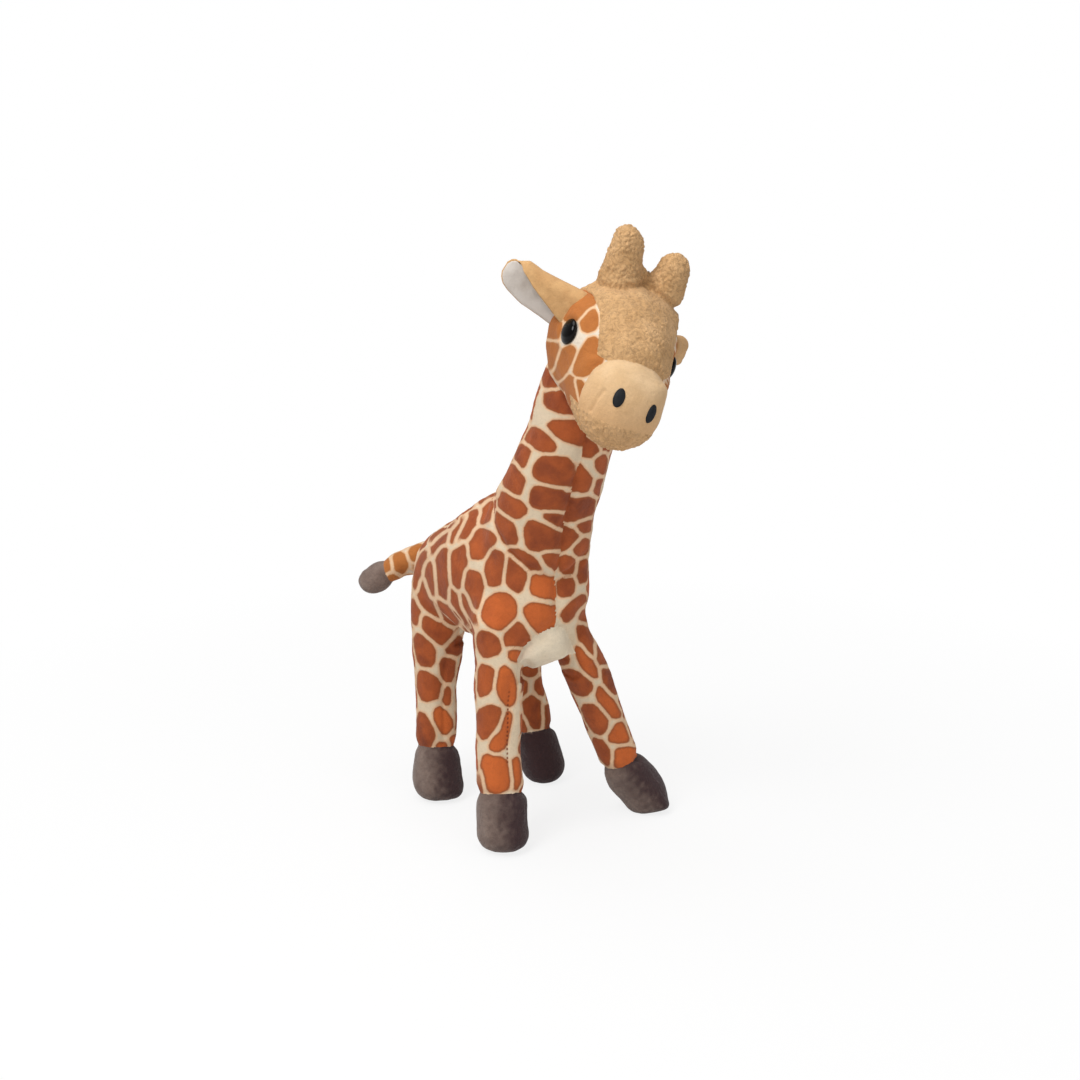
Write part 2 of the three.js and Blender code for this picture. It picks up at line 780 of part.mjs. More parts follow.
// One layer of an ear's cloth, from one height over the middle sheet to another, in the ear's frame:
// the leaf runs along +Y and is folded about it, with its front flap towards +Z
function earLayer(sign, low, high) {
  const along = earShares.length - 1;
  const points = [];
  for (const height of [low, high]) {
    for (let i = 0; i <= along; i++) {
      const row = earSection(earShares[i]).map(
        ({ down, forward, into }) =>
          new THREE.Vector3(
            sign * (down + height * into.x),
            (i / along) * EAR.length,
            forward + height * into.y,
          ),
      );
      points.push(...(sign > 0 ? row : row.reverse()));
    }
  }
  const across = points.length / (2 * (along + 1)) - 1;
  const row = across + 1;
  const layer = row * (along + 1);
  const faces = [];
  const quad = (a, b, c, d) => faces.push(a, b, c, a, c, d);
  for (let i = 0; i < along; i++) {
    for (let j = 0; j < across; j++) {
      const a = i * row + j;
      quad(a, a + row, a + row + 1, a + 1);
      quad(layer + a, layer + a + 1, layer + a + row + 1, layer + a + row);
    }
    const left = i * row;
    const right = left + across;
    quad(left, layer + left, layer + left + row, left + row);
    quad(right, right + row, layer + right + row, layer + right);
  }
  for (let j = 0; j < across; j++) {
    const tip = along * row + j;
    quad(j, j + 1, layer + j + 1, layer + j);
    quad(tip, layer + tip, layer + tip + 1, tip + 1);
  }
  return solidOf(new THREE.BufferGeometry().setFromPoints(points).setIndex(faces));
}

for (const { side, sign, backDeg, liftDeg } of ears) {
  const ear = new THREE.Group();
  const outwards = new THREE.Vector3(sign, 0, 0)
    .applyAxisAngle(UP, sign * THREE.MathUtils.degToRad(backDeg))
    .applyAxisAngle(BACK, -sign * THREE.MathUtils.degToRad(liftDeg));
  const at = onHead(new THREE.Vector3(0, EAR.behind, EAR.above), LEFT.clone().multiplyScalar(sign));
  const upright = UP.clone().projectOnPlane(outwards).normalize();
  const front = outwards.clone().cross(upright).multiplyScalar(sign);
  const frame = new THREE.Matrix4().makeBasis(
    upright.clone().multiplyScalar(-sign),
    outwards,
    front,
  );
  const pose = new THREE.Matrix4()
    .setPosition(at.clone().addScaledVector(outwards, -EAR.sink))
    .multiply(frame);
  ear.applyMatrix4(pose);
  head.add(ear);
  const hinge = { at, axis: UP, range: EAR_FLOP };
  const clear = swept(headCutter, hinge, -1).transform(pose.clone().invert().elements);
  const back = earLayer(sign, -GAP / 2 - EAR.cloth, -GAP / 2).subtract(clear);
  const lining = earLayer(sign, GAP / 2, GAP / 2 + EAR.cloth).subtract(clear);
  ear.add(piece(`ear_back_${side}`, back, MATERIALS.tan));
  ear.add(piece(`ear_lining_${side}`, lining, MATERIALS.lining));
}

// The origin lies on the ground, under the middle of the whole toy
const extent = new THREE.Box3().setFromObject(giraffe, true);
const middle = extent.getCenter(new THREE.Vector3());
giraffe.position.set(-middle.x, -middle.y, -extent.min.z);

export default giraffe;
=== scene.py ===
import json
import math

import bmesh
import bpy
import numpy as np
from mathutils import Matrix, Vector
from mathutils.bvhtree import BVHTree
from mathutils.kdtree import KDTree


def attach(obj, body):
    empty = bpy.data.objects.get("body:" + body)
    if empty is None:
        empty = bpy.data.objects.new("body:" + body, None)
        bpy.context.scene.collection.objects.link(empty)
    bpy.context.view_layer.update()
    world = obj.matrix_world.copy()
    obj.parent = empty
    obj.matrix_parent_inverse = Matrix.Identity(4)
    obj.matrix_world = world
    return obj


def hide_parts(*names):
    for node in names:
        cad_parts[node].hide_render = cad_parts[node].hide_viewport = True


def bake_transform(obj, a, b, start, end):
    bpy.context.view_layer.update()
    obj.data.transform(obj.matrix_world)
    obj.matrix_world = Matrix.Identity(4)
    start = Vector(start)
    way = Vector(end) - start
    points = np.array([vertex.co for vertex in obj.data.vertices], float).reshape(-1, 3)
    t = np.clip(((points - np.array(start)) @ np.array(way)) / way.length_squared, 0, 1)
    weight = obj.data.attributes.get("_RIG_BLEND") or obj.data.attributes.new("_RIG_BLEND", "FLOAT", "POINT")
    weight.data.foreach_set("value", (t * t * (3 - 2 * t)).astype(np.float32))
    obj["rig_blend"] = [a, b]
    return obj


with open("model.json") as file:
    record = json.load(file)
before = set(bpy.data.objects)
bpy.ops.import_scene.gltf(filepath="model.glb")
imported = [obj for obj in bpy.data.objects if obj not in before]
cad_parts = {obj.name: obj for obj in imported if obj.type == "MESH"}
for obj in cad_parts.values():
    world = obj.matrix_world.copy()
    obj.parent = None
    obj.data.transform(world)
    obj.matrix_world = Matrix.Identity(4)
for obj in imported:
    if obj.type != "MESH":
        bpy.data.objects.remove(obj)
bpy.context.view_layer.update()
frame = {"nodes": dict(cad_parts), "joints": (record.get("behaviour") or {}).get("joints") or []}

MM = 0.001
NOWHERE = 1.0  # a distance that stands for none
scene = bpy.context.scene
HINGES = {joint["name"]: Vector(joint["pos_m"]) for joint in frame["joints"]}

# The photograph's camera
PHOTO_PIXELS = 1080
FOCAL_PIXELS = 1607
SENSOR_MM = 36
AIM = Vector((-14.205, -14.933, 150)) * MM
AZIMUTH_DEG = -28
ELEVATION_DEG = 15
DISTANCE = 0.75


def camera_frame():
    """The camera's place and its right, up and back directions."""
    azimuth = math.radians(AZIMUTH_DEG)
    elevation = math.radians(ELEVATION_DEG)
    level = math.cos(elevation)
    back = Vector((math.sin(azimuth) * level, -math.cos(azimuth) * level, math.sin(elevation)))
    right = Vector((0, 0, 1)).cross(back).normalized()
    up = back.cross(right)
    return AIM + back * DISTANCE, right, up, back


EYE_AT, RIGHT, UP, BACK = camera_frame()
EYE_ROW, RIGHT_ROW, UP_ROW, BACK_ROW = (np.array(v) for v in (EYE_AT, RIGHT, UP, BACK))


def in_photo(points):
    """Where points in metres fall in the photograph, in its pixels."""
    away = points - EYE_ROW
    depth = -away @ BACK_ROW
    x = PHOTO_PIXELS / 2 + FOCAL_PIXELS * (away @ RIGHT_ROW) / depth
    y = PHOTO_PIXELS / 2 - FOCAL_PIXELS * (away @ UP_ROW) / depth
    return np.stack([x, y], axis=1)


def pixel_ray(x, y):
    """The direction in which the camera sees a pixel of the photograph."""
    across = (x - PHOTO_PIXELS / 2) / FOCAL_PIXELS
    down = (y - PHOTO_PIXELS / 2) / FOCAL_PIXELS
    return (RIGHT * across - UP * down - BACK).normalized()


camera_data = bpy.data.cameras.new("camera")
camera_data.sensor_fit = "HORIZONTAL"
camera_data.sensor_width = SENSOR_MM
camera_data.lens = SENSOR_MM * FOCAL_PIXELS / PHOTO_PIXELS
camera = bpy.data.objects.new("camera", camera_data)
camera.location = EYE_AT
camera.rotation_euler = BACK.to_track_quat("Z", "Y").to_euler()
scene.collection.objects.link(camera)
scene.camera = camera


# Meshes and arrays
def object_of(name, mesh):
    made = bpy.data.objects.new(name, mesh)
    scene.collection.objects.link(made)
    return made


def solid_of(name, points, faces):
    """An object whose mesh has these points and smooth faces."""
    mesh = bpy.data.meshes.new(name)
    mesh.from_pydata(points, [], faces)
    smooth_faces(mesh)
    return object_of(name, mesh)


def points_of(mesh):
    points = np.empty(len(mesh.vertices) * 3)
    mesh.vertices.foreach_get("co", points)
    return points.reshape(-1, 3)


def put_points(mesh, points):
    mesh.vertices.foreach_set("co", np.asarray(points, dtype=float).ravel())
    mesh.update()


def normals_of(mesh):
    normals = np.empty(len(mesh.vertices) * 3)
    mesh.vertex_normals.foreach_get("vector", normals)
    return normals.reshape(-1, 3)


def edges_of(mesh):
    edges = np.empty(len(mesh.edges) * 2, dtype=np.int64)
    mesh.edges.foreach_get("vertices", edges)
    return edges.reshape(-1, 2)


def smooth_faces(mesh):
    mesh.polygons.foreach_set("use_smooth", [True] * len(mesh.polygons))


def attribute(mesh, name):
    values = np.empty(len(mesh.vertices))
    mesh.attributes[name].data.foreach_get("value", values)
    return values


def fields_of(obj, make):
    """The fields that were kept as attributes, by the names that their function gives."""
    return {name: attribute(obj.data, name) for name in make(points_of(obj.data)[:1])}


def put_attribute(mesh, name, values):
    if name not in mesh.attributes:
        mesh.attributes.new(name, "FLOAT", "POINT")
    mesh.attributes[name].data.foreach_set("value", np.asarray(values, dtype=np.float32))


def settle(obj):
    """Applies all of an object's modifiers."""
    graph = bpy.context.evaluated_depsgraph_get()
    mesh = bpy.data.meshes.new_from_object(obj.evaluated_get(graph))
    old = obj.data
    obj.modifiers.clear()
    obj.data = mesh
    bpy.data.meshes.remove(old)
    return obj


def joined(nodes, hulls=()):
    """One mesh of several CAD nodes and of the convex hulls of some point clouds."""
    shape = bmesh.new()
    for node_name in nodes:
        shape.from_mesh(frame["nodes"][node_name].data)
    for cloud in hulls:
        extra = bmesh.new()
        for point in cloud:
            extra.verts.new(point)
        hull = bmesh.ops.convex_hull(extra, input=extra.verts)
        loose = [v for v in hull["geom_interior"] if isinstance(v, bmesh.types.BMVert)]
        bmesh.ops.delete(extra, geom=loose, context="VERTS")
        bmesh.ops.recalc_face_normals(extra, faces=extra.faces)
        mesh = bpy.data.meshes.new("hull")
        extra.to_mesh(mesh)
        extra.free()
        shape.from_mesh(mesh)
        bpy.data.meshes.remove(mesh)
    mesh = bpy.data.meshes.new("joined")
    shape.to_mesh(mesh)
    shape.free()
    return object_of("joined", mesh)


def remesh(obj, voxel):
    step = obj.modifiers.new("remesh", "REMESH")
    step.mode = "VOXEL"
    step.voxel_size = voxel
    step.adaptivity = 0
    return settle(obj)


def subdivide(obj, levels=1):
    step = obj.modifiers.new("subdivide", "SUBSURF")
    step.levels = step.render_levels = levels
    return settle(obj)


def push(obj, distance):
    """Moves a mesh along its normals, by one distance or by one for each vertex."""
    mesh = obj.data
    put_points(mesh, points_of(mesh) + normals_of(mesh) * np.reshape(distance, (-1, 1)))
    return obj


SMOOTH_IN = 0.5
SMOOTH_OUT = -0.53


def relax(obj, steps):
    """Takes facets out of a mesh without shrinking it."""
    mesh = obj.data
    points = points_of(mesh)
    a, b = edges_of(mesh).T
    count = np.bincount(np.concatenate([a, b]), minlength=len(points))[:, None]
    for step in range(2 * steps):
        total = np.empty_like(points)
        for axis in range(3):
            total[:, axis] = np.bincount(a, points[b, axis], len(points))
            total[:, axis] += np.bincount(b, points[a, axis], len(points))
        points += (SMOOTH_OUT if step % 2 else SMOOTH_IN) * (total / count - points)
    put_points(mesh, points)
    return obj


def groove(away, depth, width):
    """A soft groove or bulge, of a depth and a width, by the distance from its middle."""
    return depth * np.exp(-((away / width) ** 2))


def lumps(points, size, seed, waves=24):
    """A soft random field over points, about -1 to 1, with lumps of about one size."""
    random = np.random.default_rng(seed)
    ways = random.normal(size=(waves, 3))
    ways /= np.linalg.norm(ways, axis=1)[:, None]
    rates = 2 * np.pi / (size * random.uniform(0.7, 1.6, waves))
    starts = random.uniform(0, 2 * np.pi, waves)
    return np.sin(points @ (ways * rates[:, None]).T + starts).sum(axis=1) / math.sqrt(waves)


def skin_of(nodes, hulls, fine, coarse, close, shrink):
    """One smooth closed skin round some CAD nodes, a little inside them, its clefts filled to a fillet."""
    skin = joined(nodes, hulls)
    remesh(skin, fine)
    relax(skin, 3)
    push(skin, close)
    remesh(skin, coarse)
    push(skin, -close)
    relax(skin, 6)
    push(skin, -shrink)
    return skin


SIM_SCALE = 20.0  # cloth this small needs enlarging for the solver
SIM_FRAMES = 20
FIRST_SHARE = 0.55  # of the cap, before the simulation
CLOTH_SETTINGS = {
    "mass": 0.1, "tension_stiffness": 0.15, "compression_stiffness": 0.15, "shear_stiffness": 0.15,
    "bending_stiffness": 0.01, "use_pressure": True, "uniform_pressure_force": 4.0,
    "vertex_group_mass": "held",
}


def inflate(obj, held, cap):
    """Blows a skin up as cloth, held along its seams: a share of cap by hand, the rest by simulation."""
    push(obj, FIRST_SHARE * cap * (1 - held))
    mesh = obj.data
    start = points_of(mesh)
    put_points(mesh, start * SIM_SCALE)
    group = obj.vertex_groups.new(name="held")
    for i, weight in enumerate(held):
        group.add([i], float(weight), "REPLACE")
    cloth = obj.modifiers.new("cloth", "CLOTH")
    for name, value in CLOTH_SETTINGS.items():
        setattr(cloth.settings, name, value)
    cloth.settings.effector_weights.gravity = 0
    cloth.collision_settings.use_collision = False
    cloth.point_cache.frame_start = 1
    cloth.point_cache.frame_end = SIM_FRAMES
    for step in range(1, SIM_FRAMES + 1):
        scene.frame_set(step)
    graph = bpy.context.evaluated_depsgraph_get()
    moved = np.nan_to_num(points_of(obj.evaluated_get(graph).data) / SIM_SCALE - start)
    obj.modifiers.clear()
    obj.vertex_groups.clear()
    scene.frame_set(1)
    reach = np.linalg.norm(moved, axis=1)
    most = (1 - FIRST_SHARE) * cap
    moved *= np.minimum(1, most / np.maximum(reach, 1e-9))[:, None]
    put_points(mesh, start + moved)
    return obj


def root_cloud(node_name, inwards, reach, depth):
    """The end of a limb's filling, and the same again further in: a plug for the cleft at its root."""
    points = points_of(frame["nodes"][node_name].data)
    along = points @ np.array(inwards)
    end = points[along > along.max() - reach]
    return np.concatenate([end, end + np.array(inwards) * depth])


def nearest(cloud, points):
    """How far each point is from the nearest of a cloud."""
    if not len(cloud):
        return np.full(len(points), NOWHERE)
    tree = KDTree(len(cloud))
    for i, spot in enumerate(cloud):
        tree.insert(spot, i)
    tree.balance()
    return np.array([tree.find(point)[2] for point in points])


def tree_of(obj):
    return BVHTree.FromPolygons(
        [tuple(v.co) for v in obj.data.vertices], [tuple(p.vertices) for p in obj.data.polygons]
    )


# The body: one skin over torso, neck, legs and tail, later cut into its cloths
ANKLES = {
    "front_right": Vector((-35.97, -16.28, 28)) * MM,
    "front_left": Vector((34.42, -10.45, 28)) * MM,
    "hind_right": Vector((-38.35, 51.71, 28)) * MM,
    "hind_left": Vector((15.72, 47.79, 28)) * MM,
}
LEGS = list(ANKLES)
LEG_REACH = 26 * MM  # from a leg's own line, past its cloth
NECK_HINGE = HINGES["neck_bend"]
NECK_LINE = (HINGES["head_turn"] - NECK_HINGE).normalized()
TAIL_HINGE = HINGES["tail_swing"]
TAIL_HEADING = Vector((-0.7498, 0.5448, -0.3745)).normalized()
MIDDLE_X = -14.205 * MM

BODY_FINE = 1.6 * MM
BODY_COARSE = 2.1 * MM
BODY_CLOSE = 2.4 * MM
BODY_SHRINK = 0.7 * MM
BODY_CAP = 1.5 * MM  # how far the cloth may swell
BODY_HOLD = 3.0 * MM  # how far from a seam the skin is held
leg_nodes = {leg: [f"leg_cover_{leg}", f"hoof_{leg}", f"leg_filling_{leg}"] for leg in LEGS}
body_nodes = [
    "torso_panel_left", "torso_panel_right", "belly_panel", "torso_filling",
    "neck_panel_left", "neck_panel_right", "neck_filling",
    "tail_cover", "tail_tip", "tail_filling",
] + sum(leg_nodes.values(), [])
plugs = []
for leg in LEGS:
    upwards = (HINGES[f"leg_swing_{leg}"] - ANKLES[leg]).normalized()
    plugs.append(root_cloud(f"leg_filling_{leg}", upwards, 22 * MM, 8 * MM))
plugs.append(root_cloud("tail_filling", -TAIL_HEADING, 10 * MM, 8 * MM))
plugs.append(root_cloud("neck_filling", -NECK_LINE, 30 * MM, 10 * MM))
plugs.append(root_cloud("neck_filling", NECK_LINE, 12 * MM, 9 * MM))
body = skin_of(body_nodes, plugs, BODY_FINE, BODY_COARSE, BODY_CLOSE, BODY_SHRINK)

# The seam round the foot of the neck: from the withers down past these pixels to the chest
NECK_SEAM_PIXELS = [(509, 550), (556, 577)]
WITHERS = Vector((-14.205, 3, 172)) * MM
body_tree = tree_of(body)
NECK_SEAM = [WITHERS] + [body_tree.ray_cast(EYE_AT, pixel_ray(*pixel))[0] for pixel in NECK_SEAM_PIXELS]
NECK_NORMAL = (NECK_SEAM[1] - NECK_SEAM[0]).cross(NECK_SEAM[2] - NECK_SEAM[0]).normalized()
if NECK_NORMAL.z < 0:
    NECK_NORMAL.negate()

LEG_START = 5 * MM  # below the hinge, where a leg's own piece begins
LEG_BEND = 22 * MM  # over which it bends
TAIL_START = 7 * MM
TAIL_LENGTH = 40 * MM
EGG_MIDDLE = np.array((-14.205, 15.23, 89)) * MM
EGG = np.array((19.5, 64, 33)) * MM
LEG_ROOT = 12.7 * MM  # from a leg's line to the belly's edge
HOOF_TILT = 0.25
FORWARDS = np.array((BACK.x, BACK.y, 0)) / math.hypot(BACK.x, BACK.y)
FAR = -10 * MM  # a field's value where it doesn't apply


def leg_line(leg):
    """A leg's hinge, the way down from it to the ankle, and how far the ankle is."""
    hinge = np.array(HINGES[f"leg_swing_{leg}"])
    line = np.array(ANKLES[leg]) - hinge
    length = np.linalg.norm(line)
    return hinge, line / length, length


def round_leg(points, leg):
    """How far down a leg's line points lie, and where they are beside it."""
    hinge, line, _ = leg_line(leg)
    down = (points - hinge) @ line
    return down, points - hinge - down[:, None] * line


def body_fields(points):
    """Signed distances, in metres, to the borders between the body's cloths."""
    fields = {}
    belly = (1 - np.linalg.norm((points - EGG_MIDDLE) / EGG, axis=1)) * EGG[0]
    for leg in LEGS:
        length = leg_line(leg)[2]
        down, off = round_leg(points, leg)
        side = np.linalg.norm(off, axis=1)
        near = (side < LEG_REACH) & (down > -10 * MM)
        fields[f"leg_{leg}"] = np.where(near, down - LEG_START, FAR)
        fields[f"hoof_{leg}"] = np.where(near, down - length + HOOF_TILT * (off @ FORWARDS), FAR)
        belly = np.minimum(belly, np.hypot(side, np.minimum(down + 3 * MM, 0)) - LEG_ROOT)
    mirrored = points.copy()
    mirrored[:, 0] = MIDDLE_X - np.abs(points[:, 0] - MIDDLE_X)
    fields["neck"] = (mirrored - np.array(NECK_SEAM[0])) @ np.array(NECK_NORMAL)
    down = (points - np.array(TAIL_HINGE)) @ np.array(TAIL_HEADING)
    behind = (points[:, 1] > 74 * MM) & (points[:, 2] < 150 * MM) & (points[:, 2] > 90 * MM)
    fields["tail"] = np.where(behind, down - TAIL_START, FAR)
    fields["tail_tip"] = np.where(behind, down - TAIL_LENGTH, FAR)
    fields["left"] = points[:, 0] - MIDDLE_X
    fields["belly"] = belly
    return fields


def leg_seams(points):
    """How far points lie from the seam down the front and back of each leg, where there is one."""
    away = np.full(len(points), NOWHERE)
    for leg in LEGS:
        _, line, length = leg_line(leg)
        down, off = round_leg(points, leg)
        side = np.linalg.norm(off, axis=1)
        across = np.cross(line, (0, 1, 0))
        across /= np.linalg.norm(across)
        here = (side < LEG_REACH) & (down > 0) & (down < length)
        away = np.where(here, np.minimum(away, np.abs(off @ across)), away)
    return away


def body_seams(points, fields):
    """How far points lie from each kind of seam."""
    legs = np.max([fields[f"leg_{leg}"] for leg in LEGS], axis=0) > 0
    torso = ~legs & (fields["tail"] < 0) & (fields["neck"] < 0)
    halved = ~legs & (fields["tail"] <= 0) & (fields["belly"] <= 0)
    return {
        "middle": np.where(halved, np.abs(fields["left"]), NOWHERE),
        "hooves": np.min([np.abs(fields[f"hoof_{leg}"]) for leg in LEGS], axis=0),
        "belly": np.where(torso, np.abs(fields["belly"]), NOWHERE),
        "neck": np.where(legs, NOWHERE, np.abs(fields["neck"])),
        "tail": np.minimum(np.abs(fields["tail"]), np.abs(fields["tail_tip"])),
        "legs": leg_seams(points),
    }


coarse_points = points_of(body.data)
seams = body_seams(coarse_points, body_fields(coarse_points))
held = groove(np.min(list(seams.values()), axis=0), 1, BODY_HOLD)
inflate(body, held, BODY_CAP)
subdivide(body)
relax(body, 1)

# The head with its horns, in one skin
HEAD_AXES = np.array([
    (0.9163, -0.1747, -0.3604),
    (0.2440, 0.9571, 0.1564),
    (0.3176, -0.2313, 0.9196),
])
HEAD_MIDDLE = np.array((-4.805, -62.11, 246.5)) * MM
HEAD_UP = Vector(HEAD_AXES[2])


def in_head(points):
    """Points in the head's own frame: left, back and up from the middle of the skull."""
    return (points - HEAD_MIDDLE) @ HEAD_AXES.T


def from_head(points):
    return np.asarray(points) @ HEAD_AXES + HEAD_MIDDLE


def head_way(heading):
    """A direction of the head's own frame, in the part's."""
    return Vector(np.asarray(heading) @ HEAD_AXES)


HEAD_FINE = 1.1 * MM
HEAD_COARSE = 1.9 * MM
HEAD_CLOSE = 1.3 * MM
HEAD_SHRINK = 0.5 * MM
HEAD_CAP = 1.1 * MM
HEAD_HOLD = 2.5 * MM  # how far from a seam the skin is held
head_nodes = ["head_cover", "forehead_panel", "muzzle", "chin_panel", "head_filling"]
horn_plugs = []
for side in ("left", "right"):
    head_nodes += [f"horn_{side}", f"horn_filling_{side}"]
    horn_plugs.append(root_cloud(f"horn_filling_{side}", -HEAD_UP, 6 * MM, 4 * MM))
head = skin_of(head_nodes, horn_plugs, HEAD_FINE, HEAD_COARSE, HEAD_CLOSE, HEAD_SHRINK)

MUZZLE_AHEAD = 39 * MM  # in the middle
MUZZLE_CURVE = 6.5 * MM  # less at the sides
CHIN_BELOW = 21 * MM
CHIN_AHEAD = 24 * MM
CREST = 30 * MM  # the crease in front of the horns, at its highest
CREST_AT = 1.5 * MM
CREST_SLOPES = {"left": 0.24, "right": 0.37}
HORN_FEET = {"left": 13.5 * MM, "right": -5.5 * MM}
HORN_PARTING = 4 * MM
HORN_REACH = 13 * MM


def head_fields(points):
    """Signed distances, in metres, to the borders between the head's cloths."""
    x, y, z = in_head(points).T
    right_half = np.interp(-y, [0, MUZZLE_AHEAD], [19.5 * MM, 15.5 * MM])
    left_half = np.interp(-y, [-8 * MM, 4 * MM, MUZZLE_AHEAD], [27 * MM, 22 * MM, 19 * MM])
    half = np.where(x > 0, left_half, right_half)
    fields = {
        "muzzle": -y - MUZZLE_AHEAD + MUZZLE_CURVE * (x / (18 * MM)) ** 2,
        "chin": np.minimum(-y - CHIN_AHEAD, -z - CHIN_BELOW),
        "forehead": np.minimum(np.minimum(half - np.abs(x), 13 * MM - y), z),
    }
    crest = CREST - np.where(
        x > CREST_AT, CREST_SLOPES["left"] * (x - CREST_AT), CREST_SLOPES["right"] * (CREST_AT - x)
    )
    for side, foot_x in HORN_FEET.items():
        away = np.hypot(x - foot_x, y - 2 * MM)
        inner = (x - HORN_PARTING) * (1 if side == "left" else -1)
        fields[f"horn_{side}"] = np.minimum(np.minimum(z - crest, HORN_REACH - away), inner)
    return fields


coarse_points = points_of(head.data)
fields = head_fields(coarse_points)
away = np.minimum(np.abs(fields["muzzle"]), np.abs(fields["forehead"]))
inflate(head, groove(away, 1, HEAD_HOLD), HEAD_CAP)
subdivide(head, 2)
relax(head, 1)


# Cutting a skin into its cloths
def cut_skin(obj, fields, snap):
    """Cuts a skin's faces where each field passes zero, and keeps the fields as attributes."""
    shape = bmesh.new()
    shape.from_mesh(obj.data)
    shape.verts.layers.float_vector.new("place")
    for name in fields:
        shape.verts.layers.float.new(name)
    for name, values in fields.items():
        layer = shape.verts.layers.float[name]
        near = np.where(np.abs(values) < snap, 0.0, values)
        for vertex, value in zip(shape.verts, near.tolist()):
            vertex[layer] = value
    place = shape.verts.layers.float_vector["place"]
    for name in fields:
        layer = shape.verts.layers.float[name]
        for vertex in shape.verts:
            vertex[place] = vertex.co
            vertex.co.z = vertex[layer]
        everything = shape.verts[:] + shape.edges[:] + shape.faces[:]
        bmesh.ops.bisect_plane(
            shape, geom=everything, dist=1e-9, plane_co=(0, 0, 0), plane_no=(0, 0, 1)
        )
        for vertex in shape.verts:
            vertex.co = vertex[place]
    shape.verts.layers.float_vector.remove(place)
    shape.to_mesh(obj.data)
    shape.free()
    return obj


def face_means(mesh, names):
    """The mean of each attribute over the corners of each face."""
    starts = np.empty(len(mesh.polygons), dtype=np.int64)
    mesh.polygons.foreach_get("loop_start", starts)
    corners = np.empty(len(mesh.loops), dtype=np.int64)
    mesh.loops.foreach_get("vertex_index", corners)
    totals = np.diff(np.append(starts, len(corners)))
    return {
        name: np.add.reduceat(attribute(mesh, name)[corners], starts) / totals for name in names
    }


cut_skin(body, body_fields(points_of(body.data)), 0.12 * BODY_COARSE)
cut_skin(head, head_fields(points_of(head.data)), 0.06 * HEAD_COARSE)

# Seams, and the unevenness of stuffed cloth
SEAM_GROOVES = {  # how deep and how wide, in mm
    "middle": (0.75, 1.3), "belly": (1.3, 1.7), "neck": (0.7, 1.3), "hooves": (0.5, 1.1),
    "tail": (0.5, 1.1), "legs": (0.45, 1.1),
}
points = points_of(body.data)
fields = fields_of(body, body_fields)
seams = body_seams(points, fields)
pull = np.max([
    groove(seams[name], depth * MM, width * MM) for name, (depth, width) in SEAM_GROOVES.items()
], axis=0)
pull *= 1 + 0.3 * lumps(points, 3.5 * MM, 13)
swell = np.where(fields["belly"] > 0, np.minimum(fields["belly"] / (5 * MM), 1) * 2.2 * MM, 0)
legs_here = np.max([fields[f"leg_{leg}"] for leg in LEGS], axis=0) > 0
swell = np.where(legs_here | (fields["tail"] > 0), 0, swell)
upwards = np.clip(normals_of(body.data)[:, 2], 0, 1) ** 2
swell += np.clip(-fields["neck"] / (6 * MM), 0, 1) * 0.9 * MM * upwards
uneven = 0.28 * MM * lumps(points, 16 * MM, 11) + 0.07 * MM * lumps(points, 4 * MM, 12)
push(body, uneven + swell - pull)

# Each leg leans a little off its straight line, along the picture's horizontal, in mm
LEANS = {"front_right": -0.7, "front_left": -0.5, "hind_right": -0.7, "hind_left": -0.1}
# Where the outline differs: a pixel, how wide round it, and moves right and up in mm
NUDGES = [
    (472, 665, 26, 2.5, 0), (457, 630, 11, 2.2, -1.6), (593, 630, 24, -4.3, 0), (601, 512, 30, -1.5, 0),
    (590, 562, 18, 0.7, 0), (524, 432, 22, 1.4, 0), (405, 578, 13, 0, 3.0), (400, 549, 22, 0, 0.6),
    (361, 581, 16, -1.1, -0.5), (371, 566, 14, 0, -1.2), (526, 790, 26, 1.0, 0), (475, 780, 46, -0.7, 0),
    (655, 762, 14, 0.6, 0.2), (664, 806, 9, 2.6, -1.2), (411, 625, 30, -0.6, 0), (458, 682, 24, -1.7, 0),
    (463, 797, 12, 1.2, -0.8), (494, 492, 12, 0, 1.5), (450, 521, 18, 0, 0.7), (414, 768, 24, -0.9, 0),
    (546, 668, 14, 0, 2.0), (610, 788, 15, -1.5, 0), (472, 700, 18, 0.8, 0), (560, 665, 8, -1.0, 0),
    (521, 800, 14, 0.8, 0), (458, 765, 16, 0.9, 0),
]
HIND_NUDGES = [(546, 672, 26, -2.6, 0), (560, 770, 24, 0.3, -0.6)]
HIND_FROM = 25 * MM
TOE = np.array((52, -12, 0)) * MM
SOLE = -0.7 * MM


def nudge(points, places, from_y=-NOWHERE):
    """Moves what lies round some pixels of the photograph, behind from_y, along the picture."""
    spots = in_photo(points)
    for x, y, wide, rightwards, up in places:
        share = np.exp(-(np.sum((spots - (x, y)) ** 2, axis=1) / wide ** 2)) * (points[:, 1] > from_y)
        points += share[:, None] * (RIGHT_ROW * rightwards + UP_ROW * up) * MM
    return points


